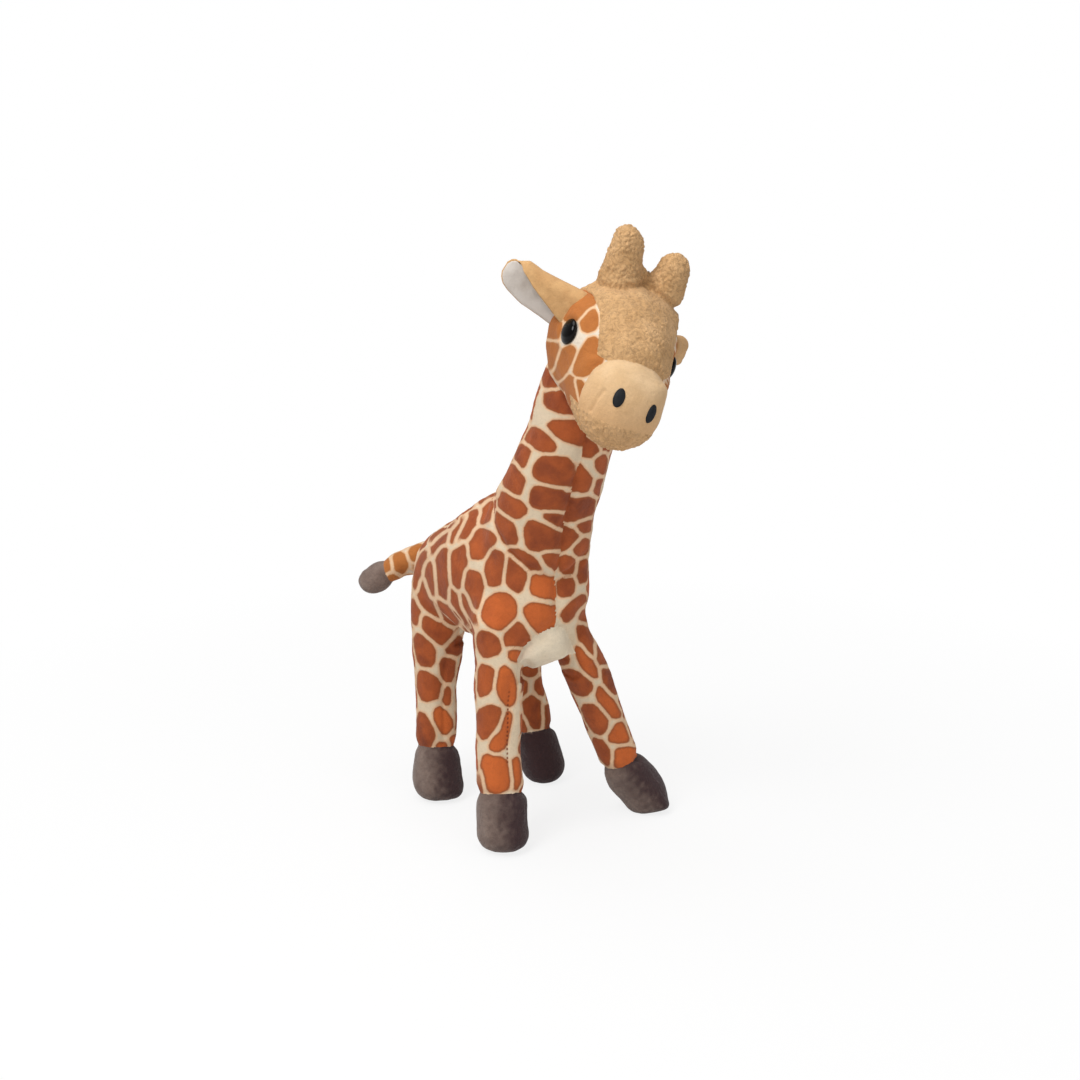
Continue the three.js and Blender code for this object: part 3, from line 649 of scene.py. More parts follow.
def reshaped(points):
    """Points of the body or its filling with small moves towards the photograph's outline."""
    points = points.copy()
    shares = []
    for leg in LEGS:
        shares.append(np.exp(-np.linalg.norm(round_leg(points, leg)[1], axis=1) / (4 * MM)))
    shares = np.array(shares) / np.sum(shares, axis=0)
    lean = np.clip((98 * MM - points[:, 2]) / (26 * MM), 0, 1)
    lean = lean * lean * (3 - 2 * lean) * np.clip(points[:, 2] / (12 * MM), 0.4, 1)
    lean = lean * (np.array([LEANS[leg] for leg in LEGS]) @ shares) * MM
    is_tail = body_fields(points)["tail"] > 0
    points += lean[:, None] * RIGHT_ROW
    # The toe of the left front hoof is drawn out to the side, and the tail's end hangs a little
    points[:, 0] += groove(np.linalg.norm(points - TOE, axis=1), 2.6 * MM, 9 * MM)
    down = np.clip(((points - np.array(TAIL_HINGE)) @ np.array(TAIL_HEADING) - 15 * MM) / (35 * MM), 0, 1)
    points[:, 2] -= np.where(is_tail, 1.6 * MM * down, 0)
    nudge(points, NUDGES)
    nudge(points, HIND_NUDGES, HIND_FROM)
    points[:, 2] = np.maximum(points[:, 2], SOLE)
    return points


points_before = points_of(body.data)
put_points(body.data, reshaped(points_before))
points = points_of(body.data)
# Painted shade on the hooves: the side turned away from the light gets the darker colour, and the hind left
# hoof, in the body's shadow, gets it all over
shade = 0.5 + 0.95 * normals_of(body.data) @ RIGHT_ROW + 0.12 * lumps(points, 3 * MM, 41)
shade = np.clip(shade, 0, 1)
shade = np.where(fields["hoof_hind_left"] > 0, 1.0, shade)
put_attribute(body.data, "low", np.where(fields["tail"] > 0, 0.0, shade))


def marked_line(mesh, shown, pixels):
    """How far each vertex lies from a line through pixels of the photograph, in pixels."""
    spots = in_photo(points_of(mesh))
    away = np.full(len(spots), 1e3)
    for (x0, y0), (x1, y1) in zip(pixels, pixels[1:]):
        side = np.array((x1 - x0, y1 - y0))
        off = spots - np.array((x0, y0))
        share = np.clip(off @ side / (side @ side), 0, 1)
        away = np.minimum(away, np.linalg.norm(off - share[:, None] * side, axis=1))
    return np.where(shown, away, 1e3)


PIXEL = 0.467 * MM  # what one pixel covers at the giraffe
EYE_AHEAD = 11.4 * MM
EYE_ABOVE = 1.4 * MM
EYE_RADIUS = 5.6 * MM
MOUTH_PIXELS = [(604, 391), (598, 399), (592, 410)]
LEFT_TEMPLE = np.array((21, -3, 14)) * MM  # which bulges
head_tree = tree_of(head)


def on_head(x, y, z, heading):
    """Where a line against a heading of the head's own frame meets its skin, and the normal there."""
    outside = Vector(from_head((x, y, z))) + head_way(heading) * 0.1
    return head_tree.ray_cast(outside, -head_way(heading))[:2]


points = points_of(head.data)
normals = normals_of(head.data)
fields = fields_of(head, head_fields)
facing = np.einsum("ij,ij->i", EYE_ROW - points, normals) > 0
forehead_edge = np.where(fields["muzzle"] > 0, NOWHERE, np.abs(fields["forehead"]))
rim = np.minimum(np.abs(fields["muzzle"]), forehead_edge)
pull = groove(rim, 0.55 * MM, 1.0 * MM)
crease = np.minimum(np.abs(fields["horn_left"]), np.abs(fields["horn_right"]))
pull = np.maximum(pull, groove(crease, 1.6 * MM, 1.2 * MM))
pull = np.maximum(pull, groove(marked_line(head.data, facing, MOUTH_PIXELS) * PIXEL, 0.7 * MM, 1.0 * MM))
swell = np.clip(fields["muzzle"] / (4 * MM), 0, 1) * 0.8 * MM
on_horn = np.maximum(fields["horn_left"], fields["horn_right"])
horn_share = np.clip((fields["horn_right"] + 2 * MM) / (6 * MM), 0, 1)
swell -= horn_share * 0.6 * MM
# The forehead bulges in front of the horns
brow = np.clip(-on_horn, 0, 1)
swell += np.where(fields["forehead"] > 0, groove(brow - 4 * MM, 0.8 * MM, 2.5 * MM), 0)
swell += groove(np.linalg.norm(in_head(points) - LEFT_TEMPLE, axis=1), 2.4 * MM, 9 * MM)
eyes = {}
for side, sign in (("left", 1), ("right", -1)):
    at, _ = on_head(0, -EYE_AHEAD, EYE_ABOVE, (sign, 0, 0))
    eyes[side] = at
    away = np.linalg.norm(points - np.array(at), axis=1)
    pull = np.maximum(pull, groove(away, 1.6 * MM, 5.2 * MM))
    swell = swell + groove(np.abs(away - 7.6 * MM), 0.5 * MM, 1.6 * MM)
fuzzy = (fields["forehead"] > 0) & (fields["muzzle"] < 0)
curly = (fields["chin"] > 0) | (on_horn > 0)
tufts = 0.26 * MM * np.abs(lumps(points, 3.0 * MM, 21, 64)) + 0.1 * MM * lumps(points, 1.5 * MM, 22, 64)
tufts *= np.where(curly, 1.3, np.where(fuzzy, 0.8, 0.15))
uneven = 0.2 * MM * lumps(points, 12 * MM, 23) + tufts
push(head, uneven + swell - pull)
HEAD_NUDGES = [
    (588, 284, 8, 0, -2.0), (679, 309, 9, -1.6, 0), (668, 385, 14, 1.2, 0), (634, 447, 30, 0, 0.9),
    (546, 345, 24, 0.8, 0),
]
points = points_of(head.data) - (horn_share * 0.9 * MM)[:, None] * RIGHT_ROW
put_points(head.data, nudge(points, HEAD_NUDGES))


# The print: each patch that shows is a loop of corners in the photograph's pixels, a starred one is warmer
PATCHES = {
    "neck_right": """
    543,368 549,372 556,382 558,389 545,388; 546,390 577,390 577,413 560,412 545,405;
    546,422 584,422 582,445 560,438;
    533,428 541,432 549,439 555,446 553,451 546,451 537,448 526,441 529,434;
    522,445 530,449 527,457 523,467 519,463 516,457 519,449;
    547,457 572,460 571,484 556,484 541,480 534,475 535,466 541,459;
    513,464 519,474 524,480 522,486 519,494 515,494 508,489 504,482 508,472;
    536,487 568,493 566,510 545,509 531,505 532,492;
    502,491 520,502 527,511 517,518 505,513 497,503; 541,514 563,514 562,527;
    530,521 545,527 560,535 557,548 540,550 528,548 525,530;
    494,511 505,518 513,525 517,543 506,544 499,530""",
    "neck_left": """
    583,440 594,444 598,452 590,457 582,452; 597,458 606,456 604,474 597,468;
    574,464 584,470 593,482 585,492 571,487; 596,482 604,480 601,495 595,492;
    566,502 594,498 592,514 578,520 565,519; 578,524 592,520 590,530 580,532;
    561,528 579,533 573,543 560,551; 574,548 588,538 586,553 578,556""",
    "torso_right": """
    508,549 520,551 535,560 541,572 530,568 515,560; 543,554 556,554 556,568 548,564;
    *534,573 545,577 557,583 556,597 543,597 531,592;
    *531,604 545,606 557,610 557,618 548,628 540,633 530,622 524,610;
    519,622 530,640 522,647 507,646 505,638 510,628; *510,650 518,649 523,654 517,661 510,658;
    488,500 494,500 492,508 491,517 486,521 481,523 480,519 484,510;
    494,493 497,494 490,499 480,503 483,499;
    476,511 479,513 476,521 471,534 468,537 460,537 457,540 462,530 466,520 470,514;
    475,531 482,530 490,533 495,538 494,542 488,548 485,555 480,558 470,557 470,545 473,535;
    465,546 466,552 466,560 463,572 460,582 458,588 455,586 452,578 450,568 450,556 453,553
    460,549;
    443,548 446,550 448,556 448,570 447,585 447,598 446,601 442,598 438,590 436,578 437,562
    440,552;
    429,563 432,566 434,574 435,585 434,592 432,597 429,588 426,575 426,568;
    427,551 428,552 424,560 420,572 418,583 416,590 415,585 416,572 419,562 423,554;
    422,580 424,586 427,592 430,600 435,608 439,617 438,618 432,613 426,607 420,603 418,598
    420,590;
    413,600 415,600 417,606 419,613 419,620 417,624 414,622 412,612;
    439,600 443,602 450,608 456,614 461,621 459,623 450,624 446,620 441,612 438,605;
    451,589 453,592 458,598 460,607 466,616 472,625 475,630 470,628 462,621 456,613 451,602;
    462,595 465,597 469,604 474,615 476,625 475,629 471,625 466,614 462,605;
    467,571 479,574 482,580 482,588 479,600 477,608 474,609 472,605 470,595 466,585 466,578;
    494,551 500,553 505,557 503,570 500,583 494,585 489,584 486,575 487,565 490,556;
    *488,600 497,594 508,595 515,603 515,615 509,625 500,629 490,626 483,618 484,608;
    509,555 520,564 526,575 520,592 512,588 506,580 507,566;
    422,617 432,619 440,624 452,631 453,640 445,645 436,640 427,632 422,624;
    449,531 445,541 438,547 432,553 430,554 431,548 437,540 443,535;
    466,516 463,523 459,530 454,540 451,542 451,534 455,527 461,520;
    458,521 452,527 442,532 434,539 431,543 432,537 440,530 450,524;
    480,632 490,634 498,640 500,652 485,657 480,650 478,640""",
    "torso_left": """
    562,556 576,560 574,572 563,574; 560,580 574,579 572,594 561,596;
    578,562 587,560 586,580 579,582; 584,595 585,603 574,614 566,622 562,614 573,602;
    580,612 588,606 587,622 581,622""",
    "hind_right": """
    418,634 434,648 433,665 420,665 415,640; 448,640 460,636 462,650 454,656 447,652;
    441,660 454,658 452,680 443,680; 422,671 441,682 440,696 424,701 419,690 419,675;
    443,690 449,688 449,703 445,705; 421,711 435,733 428,749 419,745 417,725;
    *435,711 442,707 453,724 445,735 436,722; *438,744 448,744 446,752 438,752;
    *451,738 457,736 456,750 451,750""",
    "front_right": """
    480,665 492,669 493,678 489,692 479,696; *503,666 511,672 515,685 514,702 508,706 500,696
    497,682; 490,706 501,710 496,724 484,740 478,730 478,712;
    *508,712 511,716 508,730 505,746 496,752 490,748 494,739 502,733 505,722;
    *485,755 500,758 508,763 513,785 497,793 484,788 482,765;
    *512,762 518,758 520,780 515,790 512,780; 479,772 483,780 483,792 479,792""",
    "hind_left": """
    523,662 535,662 536,674 525,676; 520,680 526,682 525,694 520,696;
    536,682 542,678 543,694 537,696; 524,700 537,695 542,715 540,727 533,727 526,715;
    518,718 523,720 526,732 519,734; 544,708 549,706 550,726 546,730""",
    "front_left": """
    578,626 584,624 592,640 594,655 587,652 580,640; *576,648 582,646 592,662 598,676 590,676
    580,662; 558,656 566,652 568,662 562,666; 561,669 575,672 588,680 592,688 585,695 576,693
    566,682; 602,668 610,672 618,688 614,694 606,686; 596,645 602,650 606,664 600,664;
    *600,686 612,700 621,717 610,716 597,697; 582,706 595,706 607,718 605,730 598,735 588,722;
    *619,722 626,728 632,740 620,742 608,740; 629,722 633,728 638,742 633,742;
    593,738 603,742 612,758 609,766 600,756; *616,750 630,748 638,750 634,762 622,768 612,764""",
    "tail": """
    380,561 387,558 390,570 385,572; 394,556 402,553 407,565 402,573 396,571;
    410,550 420,545 423,550 420,558 412,560; 388,576 395,575 400,580 392,584""",
    "head": """
    590,288 594,292 592,302 582,312 572,318 564,316 566,306 578,296;
    591,311 594,316 594,326 586,329 584,322; 557,302 563,298 563,306 558,312;
    551,316 556,312 558,326 554,340 550,334; 549,345 554,342 556,358 553,368 549,362;
    572,349 570,358 565,366 560,378 556,370 558,360 565,352;
    592,340 600,345 602,352 598,362 588,371 577,374 579,362 585,350;
    570,378 575,390 578,404 576,412 568,402 563,392 564,384; 577,382 581,386 583,398 580,400""",
}
CORNER_CUT = 0.2
GROWTH = 1.1 * MM  # the loops are drawn a little inside the patches
HEAD_GROWTH = 2.2 * MM
LEAST_HEAD_NET = 1.1 * MM
LEAST_NET = 1.6 * MM  # how wide the pale net is at least, and in places out of sight
NET = 2.1 * MM
LEAST_FACING = 0.24  # how squarely the camera must see a place, from 0 to 1, for its print to be read
CREASE_LIFT = 0.8 * MM  # what hides a place must stand this far off it
FAR_OUT = -5 * MM  # the depth of a place that no patch is near
FULL_GAP = 0.62  # the widest gap between made patches, as a share of their spacing
CORNER_ROUND = 0.7 * MM  # of made patches
RUN_ON = 4 * MM  # how far a patch runs on past the edge of what shows


def loops_of(text):
    """The patches of a text as loops with their corners cut off, and whether each is starred."""
    for part in text.split(";"):
        starred = "*" in part
        pairs = part.replace("*", "").split()
        loop = np.array([[float(number) for number in pair.split(",")] for pair in pairs])
        ahead = np.roll(loop, -1, axis=0)
        first = loop + (ahead - loop) * CORNER_CUT
        second = ahead + (loop - ahead) * CORNER_CUT
        yield np.stack([first, second], axis=1).reshape(-1, 2), starred


def depth_in(loop, spots):
    """How deep spots lie inside a loop, in pixels, or below zero how far outside."""
    ahead = np.roll(loop, -1, axis=0)
    reach = np.full(len(spots), np.inf)
    inside = np.zeros(len(spots), dtype=bool)
    for (x0, y0), (x1, y1) in zip(loop, ahead):
        side = np.array((x1 - x0, y1 - y0))
        off = spots - np.array((x0, y0))
        share = np.clip(off @ side / (side @ side), 0, 1)
        reach = np.minimum(reach, np.linalg.norm(off - share[:, None] * side, axis=1))
        crosses = (y0 > spots[:, 1]) != (y1 > spots[:, 1])
        with np.errstate(divide="ignore", invalid="ignore"):
            at = (x1 - x0) * (spots[:, 1] - y0) / (y1 - y0) + x0
        inside ^= crosses & (spots[:, 0] < at)
    return np.where(inside, reach, -reach)


def seen(points, normals, trees):
    """Which points the camera sees, and how squarely."""
    ways = EYE_ROW - points
    ways /= np.linalg.norm(ways, axis=1)[:, None]
    facing = np.einsum("ij,ij->i", ways, normals)
    shown = facing > LEAST_FACING
    for i in np.nonzero(shown)[0]:
        start = Vector(points[i] + normals[i] * CREASE_LIFT)
        if any(tree.ray_cast(start, Vector(ways[i]), 1.0)[0] is not None for tree in trees):
            shown[i] = False
    return shown, facing


def drawn_patches(spots, sets, random, growth, least):
    """How deep spots of the photograph lie in the patches drawn there, and each one's warmth."""
    first = np.full(len(spots), FAR_OUT)
    second = first.copy()
    tone = np.zeros(len(spots))
    for name in sets:
        for loop, starred in loops_of(PATCHES[name]):
            shade = random.uniform(0, 0.3) + (0.55 if starred else 0)
            low, high = loop.min(axis=0) - 12, loop.max(axis=0) + 12
            near = np.nonzero(np.all((spots > low) & (spots < high), axis=1))[0]
            deep = depth_in(loop, spots[near]) * PIXEL + growth[near]
            tone[near] = np.where(deep > first[near], shade, tone[near])
            second[near] = np.maximum(second[near], np.minimum(first[near], deep))
            first[near] = np.maximum(first[near], deep)
    # Between two patches that nearly touch, the net keeps its least width
    return np.minimum(first, (first - second - least) / 2), tone


def print_on(obj, regions, trees, spacing, seed, growth, least):
    """Writes how deep each vertex lies in a patch of the print, and how warm the patch is."""
    mesh = obj.data
    points = points_of(mesh)
    shown, facing = seen(points, normals_of(mesh), trees)
    spots = in_photo(points)
    depth = np.full(len(points), FAR_OUT)
    warm = np.zeros(len(points))
    random = np.random.default_rng(seed)
    for members, sets in regions:
        own = points[members]
        apart = spacing[members]
        drawn, tone = drawn_patches(spots[members], sets, random, growth[members], least)
        # What shows, without small islands and holes; at its edge a patch runs on for a few millimetres
        visible = nearest(own[shown[members]], own) < 3 * MM
        visible = nearest(own[~visible], own) > 5 * MM
        visible = nearest(own[visible], own) < 2 * MM
        past = nearest(own[visible], own)
        round_edge = np.minimum((facing[members] + 0.45) * 20 * MM, RUN_ON - past)
        drawn = np.minimum(drawn, np.where(visible, NOWHERE, round_edge))
        hidden = own[~visible]
        patch = own[drawn > 0]
        free = np.where(visible, 1.5 * MM - nearest(hidden, own), NOWHERE)
        room = nearest(patch, own)
        made = np.full(len(members), FAR_OUT)
        seeds = []
        if len(hidden):
            step = apart[~visible]
            gap = np.minimum(nearest(patch, hidden) / step - 0.15, 3.0)
            jitter = random.uniform(0.8, 1.25, len(hidden))
            while True:
                best = int(np.argmax(gap * jitter))
                if gap[best] < FULL_GAP:
                    break
                seeds.append(hidden[best])
                gap = np.minimum(gap, np.linalg.norm(hidden - hidden[best], axis=1) / step)
        if len(seeds) > 1:
            away = np.stack([np.linalg.norm(own - spot, axis=1) for spot in seeds])
            nearest_seed = np.argmin(away, axis=0)
            first = away.min(axis=0)
            others = np.exp((first - away) / (2 * CORNER_ROUND)).sum(axis=0) - 1
            made = -CORNER_ROUND * np.log(np.maximum(others, 1e-9)) - NET / 2
            made = np.minimum(np.minimum(made, free), room - NET)
            tones = random.uniform(0, 0.55, len(seeds))
            tone = np.where(made > drawn, tones[nearest_seed], tone)
        depth[members] = np.maximum(drawn, made)
        warm[members] = tone
    put_attribute(mesh, "print", depth / MM)
    put_attribute(mesh, "warm", warm)


fields = fields_of(body, body_fields)
is_neck = fields["neck"] > 0
is_left = fields["left"] > 0
is_tail = fields["tail"] > 0
is_leg = {leg: fields[f"leg_{leg}"] > 0 for leg in LEGS}
any_leg = np.any(list(is_leg.values()), axis=0)
is_neck &= ~any_leg & ~is_tail
is_torso = ~is_neck & ~is_tail & ~any_leg
right_legs = is_leg["front_right"] | is_leg["hind_right"]
left_legs = is_leg["front_left"] | is_leg["hind_left"]
sides = {
    side: [name for name in PATCHES if name.endswith("_" + side)] for side in ("right", "left")
}
regions = [
    (np.nonzero(is_neck & ~is_left)[0], sides["right"]),
    (np.nonzero(is_neck & is_left)[0], sides["left"]),
    (np.nonzero((is_torso & ~is_left) | right_legs)[0], sides["right"]),
    (np.nonzero((is_torso & is_left) | left_legs)[0], sides["left"]),
    (np.nonzero(is_tail)[0], ["tail"]),
]
spacing = np.where(any_leg, 12 * MM, 14.5 * MM)
spacing = np.where(is_tail, 9 * MM, spacing)
trees = [tree_of(body), tree_of(head)]
# The patches of the two sides meet in the middle seam
growth = GROWTH + 1.2 * MM * np.clip(1 - np.abs(fields["left"]) / (3 * MM), 0, 1)
print_on(body, regions, trees, spacing, 3, growth, LEAST_NET)
count = len(head.data.vertices)
print_on(
    head, [(np.arange(count), ["head"])], trees, np.full(count, 12 * MM), 5,
    np.full(count, HEAD_GROWTH), LEAST_HEAD_NET
)
# How far down the face each point lies, from the bridge of the nose to the chin: by it the muzzle and chin
# are painted darker downwards, as shade under the light from above, partly the pile's own deeper tan
below = -in_head(points_of(head.data))[:, 2]
put_attribute(head.data, "low", np.clip((below - 2 * MM) / (28 * MM), 0, 1))
# The needle holes of the leg seams, by their distance across and along, for their painted shade: dark dots
# that stand for small dimples
holed = is_leg["front_right"] & (np.abs(points_before[:, 2] - 65 * MM) < 19 * MM)
put_attribute(body.data, "across", np.where(holed, leg_seams(points_before) / MM, 9))
put_attribute(body.data, "along", points_before[:, 2] / MM)


# Materials
def plug(tree, end, value):
    """Sets an input, or links another node's output to it."""
    if hasattr(value, "is_output"):
        tree.links.new(value, end)
    else:
        end.default_value = value


def node(tree, kind, *values, **settings):
    """A new node, with values for its inputs in order, and settings by name."""
    made = tree.nodes.new(kind)
    for name, value in settings.items():
        if name in made.inputs:
            plug(tree, made.inputs[name], value)
        else:
            setattr(made, name, value)
    for end, value in zip(made.inputs, values):
        plug(tree, end, value)
    return made


def math_node(tree, operation, *values):
    return node(tree, "ShaderNodeMath", *values, operation=operation).outputs[0]


def layer_node(tree, name):
    return node(tree, "ShaderNodeAttribute", attribute_name=name).outputs["Fac"]


def noise_node(tree, place, **settings):
    return node(tree, "ShaderNodeTexNoise", Vector=place, **settings).outputs["Fac"]


def linear(*rgb):
    """A colour as written in a picture, 0 to 255, in linear light."""
    channels = [c / 255 for c in rgb]
    return tuple(
        c / 12.92 if c <= 0.04045 else ((c + 0.055) / 1.055) ** 2.4 for c in channels
    ) + (1.0,)


def ramp(tree, value, stops):
    made = tree.nodes.new("ShaderNodeValToRGB")
    made.color_ramp.interpolation = "EASE"
    elements = made.color_ramp.elements
    while len(elements) < len(stops):
        elements.new(0.5)
    for element, (at, color) in zip(elements, stops):
        element.position = at
        element.color = color
    tree.links.new(value, made.inputs[0])
    return made.outputs["Color"]


def mixed(tree, share, first, second, blend="MIX"):
    made = tree.nodes.new("ShaderNodeMix")
    made.data_type = "RGBA"
    made.blend_type = blend
    for value, socket in ((share, "Factor_Float"), (first, "A_Color"), (second, "B_Color")):
        plug(tree, next(s for s in made.inputs if s.identifier == socket), value)
    return next(s for s in made.outputs if s.identifier == "Result_Color")


def spread(tree, value, low, high, to_low=0.0, to_high=1.0):
    return node(tree, "ShaderNodeMapRange", value, low, high, to_low, to_high).outputs["Result"]


def material_of(name):
    """A new material, its nodes, its shader and the object's own coordinates."""
    made = bpy.data.materials.new(name)
    made.use_nodes = True
    tree = made.node_tree
    place = node(tree, "ShaderNodeTexCoord").outputs["Object"]
    return made, tree, tree.nodes["Principled BSDF"].inputs, place


BLACK = (0, 0, 0, 1)
WHITE = (1, 1, 1, 1)
PRINT_WOBBLE = 0.7  # mm, of a patch's edge
HOLE_STEP = 1.1  # mm, half the way from one needle hole to the next
# Painted shade: the colour of the dark dots at the needle holes, which stand for small dimples
HOLE_SHADE_COLOR = (120, 58, 34)


def print_color(tree, colors, tufts, broad, hole_shade):
    """The printed net and patches, with a halo and a rim, and the painted shade of the needle holes of a
    seam, as dark dots.
    """
    # The wobble adds half of itself on average, so the edge of a patch lies there
    depth = math_node(tree, "MULTIPLY_ADD", tufts, PRINT_WOBBLE, layer_node(tree, "print"))
    edge = PRINT_WOBBLE / 2
    at = spread(tree, depth, edge - 3, edge + 3)
    net, halo, rim, dull, bright = colors
    patch = mixed(tree, layer_node(tree, "warm"), dull, bright)
    patch = mixed(tree, spread(tree, broad, 0.35, 0.65, 0.0, 0.35), patch, bright)
    ground = ramp(tree, at, [(0.0, net), (0.3, net), (0.44, halo), (1.0, halo)])
    inside = ramp(tree, at, [(0.44, BLACK), (0.56, WHITE)])
    middle = ramp(tree, at, [(0.5, BLACK), (0.75, WHITE)])
    base = mixed(tree, inside, ground, mixed(tree, middle, rim, patch))
    if not hole_shade:
        return base
    steps = math_node(tree, "PINGPONG", layer_node(tree, "along"), HOLE_STEP)
    gaps = spread(tree, steps, 0.35, 0.75, 1.0, 0.0)
    beside = spread(tree, layer_node(tree, "across"), 0.25, 0.6, 1.0, 0.0)
    return mixed(tree, math_node(tree, "MULTIPLY", gaps, beside), base, linear(*HOLE_SHADE_COLOR))


def plush(
    name, color=None, shade=None, pile=1.0, tuft=1.0, sheen=0.08, printed=None, low=None, hole_shade=False
):
    """A short pile: fine noise for the fibres, middling for the tufts, broad for how the pile lies."""
    made, tree, inputs, place = material_of(name)
    fibre = noise_node(tree, place, Scale=2600.0, Detail=3.0, Roughness=0.65)
    tufts = noise_node(tree, place, Scale=620.0, Detail=4.0, Roughness=0.6, Distortion=0.8)
    broad = noise_node(tree, place, Scale=120.0, Detail=2.0, Roughness=0.5)
    if printed:
        base = print_color(tree, printed, tufts, broad, hole_shade)
    else:
        base = mixed(tree, spread(tree, broad, 0.3, 0.7), shade, color)
    # The low colour is painted shade, mixed in by the low attribute: on the hooves' far sides and down the
    # muzzle towards the chin
    if low:
        base = mixed(tree, layer_node(tree, "low"), base, low)
    grey = 1 - 0.2 * tuft
    dim = (grey, grey, grey, 1)
    mottle = ramp(tree, fibre, [(0.3, dim), (0.7, WHITE)])
    clump = ramp(tree, tufts, [(0.3, dim), (0.62, WHITE)])
    final = mixed(tree, 0.5, base, mottle, "MULTIPLY")
    final = mixed(tree, min(0.5 * tuft, 1.0), final, clump, "MULTIPLY")
    plug(tree, inputs["Base Color"], final)
    plug(tree, inputs["Roughness"], spread(tree, tufts, 0, 1, 0.82, 0.98))
    plug(tree, inputs["Sheen Weight"], sheen)
    plug(tree, inputs["Sheen Roughness"], 0.45)
    plug(tree, inputs["Specular IOR Level"], 0.12)
    fine = node(tree, "ShaderNodeBump", Strength=0.5 * pile, Distance=0.0003, Height=fibre)
    strength = min(0.5 * tuft, 1.0)
    whole = node(
        tree, "ShaderNodeBump", Strength=strength, Distance=0.0009, Height=tufts, Normal=fine.outputs[0]
    )
    plug(tree, inputs["Normal"], whole.outputs[0])
    return made


def hard(name, color, shade, roughness, bump=0.1, specular=0.5):
    """Moulded plastic or stitched thread: a slight mottle, and roughness that varies with it."""
    made, tree, inputs, place = material_of(name)
    noise = noise_node(tree, place, Scale=900.0, Detail=2.0)
    plug(tree, inputs["Base Color"], mixed(tree, noise, shade, color))
    rough = spread(tree, noise, 0, 1, 0.8 * roughness, min(1.3 * roughness, 1.0))
    plug(tree, inputs["Roughness"], rough)
    lift = node(tree, "ShaderNodeBump", Strength=bump, Distance=0.0002, Height=noise)
    plug(tree, inputs["Normal"], lift.outputs[0])
    plug(tree, inputs["Specular IOR Level"], specular)
    return made


NET_COLOR = linear(218, 198, 170)
HALO = linear(222, 184, 148)
PRINT = plush("printed_plush", tuft=0.9, hole_shade=True, printed=(
    NET_COLOR, HALO, linear(150, 82, 46), linear(128, 64, 40), linear(206, 106, 52)))
BRIGHT_PRINT = plush("bright_printed_plush", tuft=0.9, printed=(
    linear(218, 204, 186), linear(222, 184, 146), linear(172, 108, 56), linear(164, 98, 50),
    linear(196, 124, 64)))
TAN = plush("tan_plush", linear(214, 172, 124), linear(196, 154, 106), tuft=1.7)
TAN_FLAT = plush("tan_short_plush", linear(206, 164, 114), linear(192, 148, 100), tuft=0.9)
# The muzzle's and chin's low colours are painted shade, darker towards the chin under the light from above,
# partly the pile's own deeper tan
MUZZLE = plush("muzzle_plush", linear(214, 182, 142), linear(206, 172, 130), tuft=0.8,
               low=linear(202, 156, 108))
CHIN = plush("chin_plush", linear(220, 184, 140), linear(210, 172, 126), tuft=1.6,
             low=linear(206, 162, 114))
CREAM = plush("cream_plush", linear(232, 218, 194), linear(222, 206, 180), tuft=0.9)
# The dark plush's low colour is painted shade, for the hooves' sides away from the light and the hind left
# hoof in the body's shadow
DARK = plush("dark_plush", linear(136, 118, 108), linear(112, 94, 86), tuft=1.2, sheen=0.2,
             low=linear(64, 46, 47))
LINING = plush("ear_lining", linear(204, 196, 188), linear(188, 178, 168), tuft=0.5, pile=0.6)
FILLING = plush("filling", linear(244, 244, 242), linear(228, 228, 226), tuft=1.5)
THREAD = hard("nostril_thread", linear(22, 27, 33), linear(6, 6, 8), 0.6, bump=0.4, specular=0.25)
GLOSS = hard("eye_gloss", linear(7, 5, 5), linear(4, 3, 3), 0.06, bump=0.0, specular=0.16)
WASHER = hard("washer", linear(226, 226, 224), linear(214, 214, 212), 0.4)

CLOTH = 1.5 * MM


def cloth_piece(name, skin, chosen):
    """The chosen faces of a skin as a closed piece of cloth, with the skin's own smooth shading."""
    mesh = skin.data
    normals = normals_of(mesh)
    points = points_of(mesh)
    faces = [tuple(face.vertices) for face, keep in zip(mesh.polygons, chosen) if keep]
    used = sorted({corner for face in faces for corner in face})
    order = {corner: i for i, corner in enumerate(used)}
    count = len(used)
    inner = points[used] - normals[used] * CLOTH
    rims = {pair for face in faces for pair in zip(face, face[1:] + face[:1])}
    faces_out = [tuple(order[c] for c in face) for face in faces]
    faces_in = [tuple(order[c] + count for c in reversed(face)) for face in faces]
    walls = [
        (order[b], order[a], order[a] + count, order[b] + count)
        for a, b in sorted(rims)
        if (b, a) not in rims
    ]
    corners = np.concatenate([points[used], inner])
    made = solid_of(name, corners.tolist(), faces_out + faces_in + walls)
    for layer in ("print", "warm", "low", "across", "along"):
        if layer in mesh.attributes:
            put_attribute(made.data, layer, attribute(mesh, layer)[used + used])
    shown = np.concatenate([normals[used], -normals[used]])
    made.data.normals_split_custom_set_from_vertices(shown.tolist())
    return made


def finish(obj, nodes, material, rides, bends=None):
    """A stuffed piece's material and body, or the two bodies between which it bends."""
    obj.data.materials.clear()
    obj.data.materials.append(material)
    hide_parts(*nodes)
    if bends:
        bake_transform(obj, bends[0], rides, bends[1], bends[2])
    else:
        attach(obj, rides)


def finish_hard(obj, node_name, material):
    """A hard piece of the head: its material, and the node that it replaces."""
    obj.data.materials.append(material)
    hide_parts(node_name)
    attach(obj, "head")


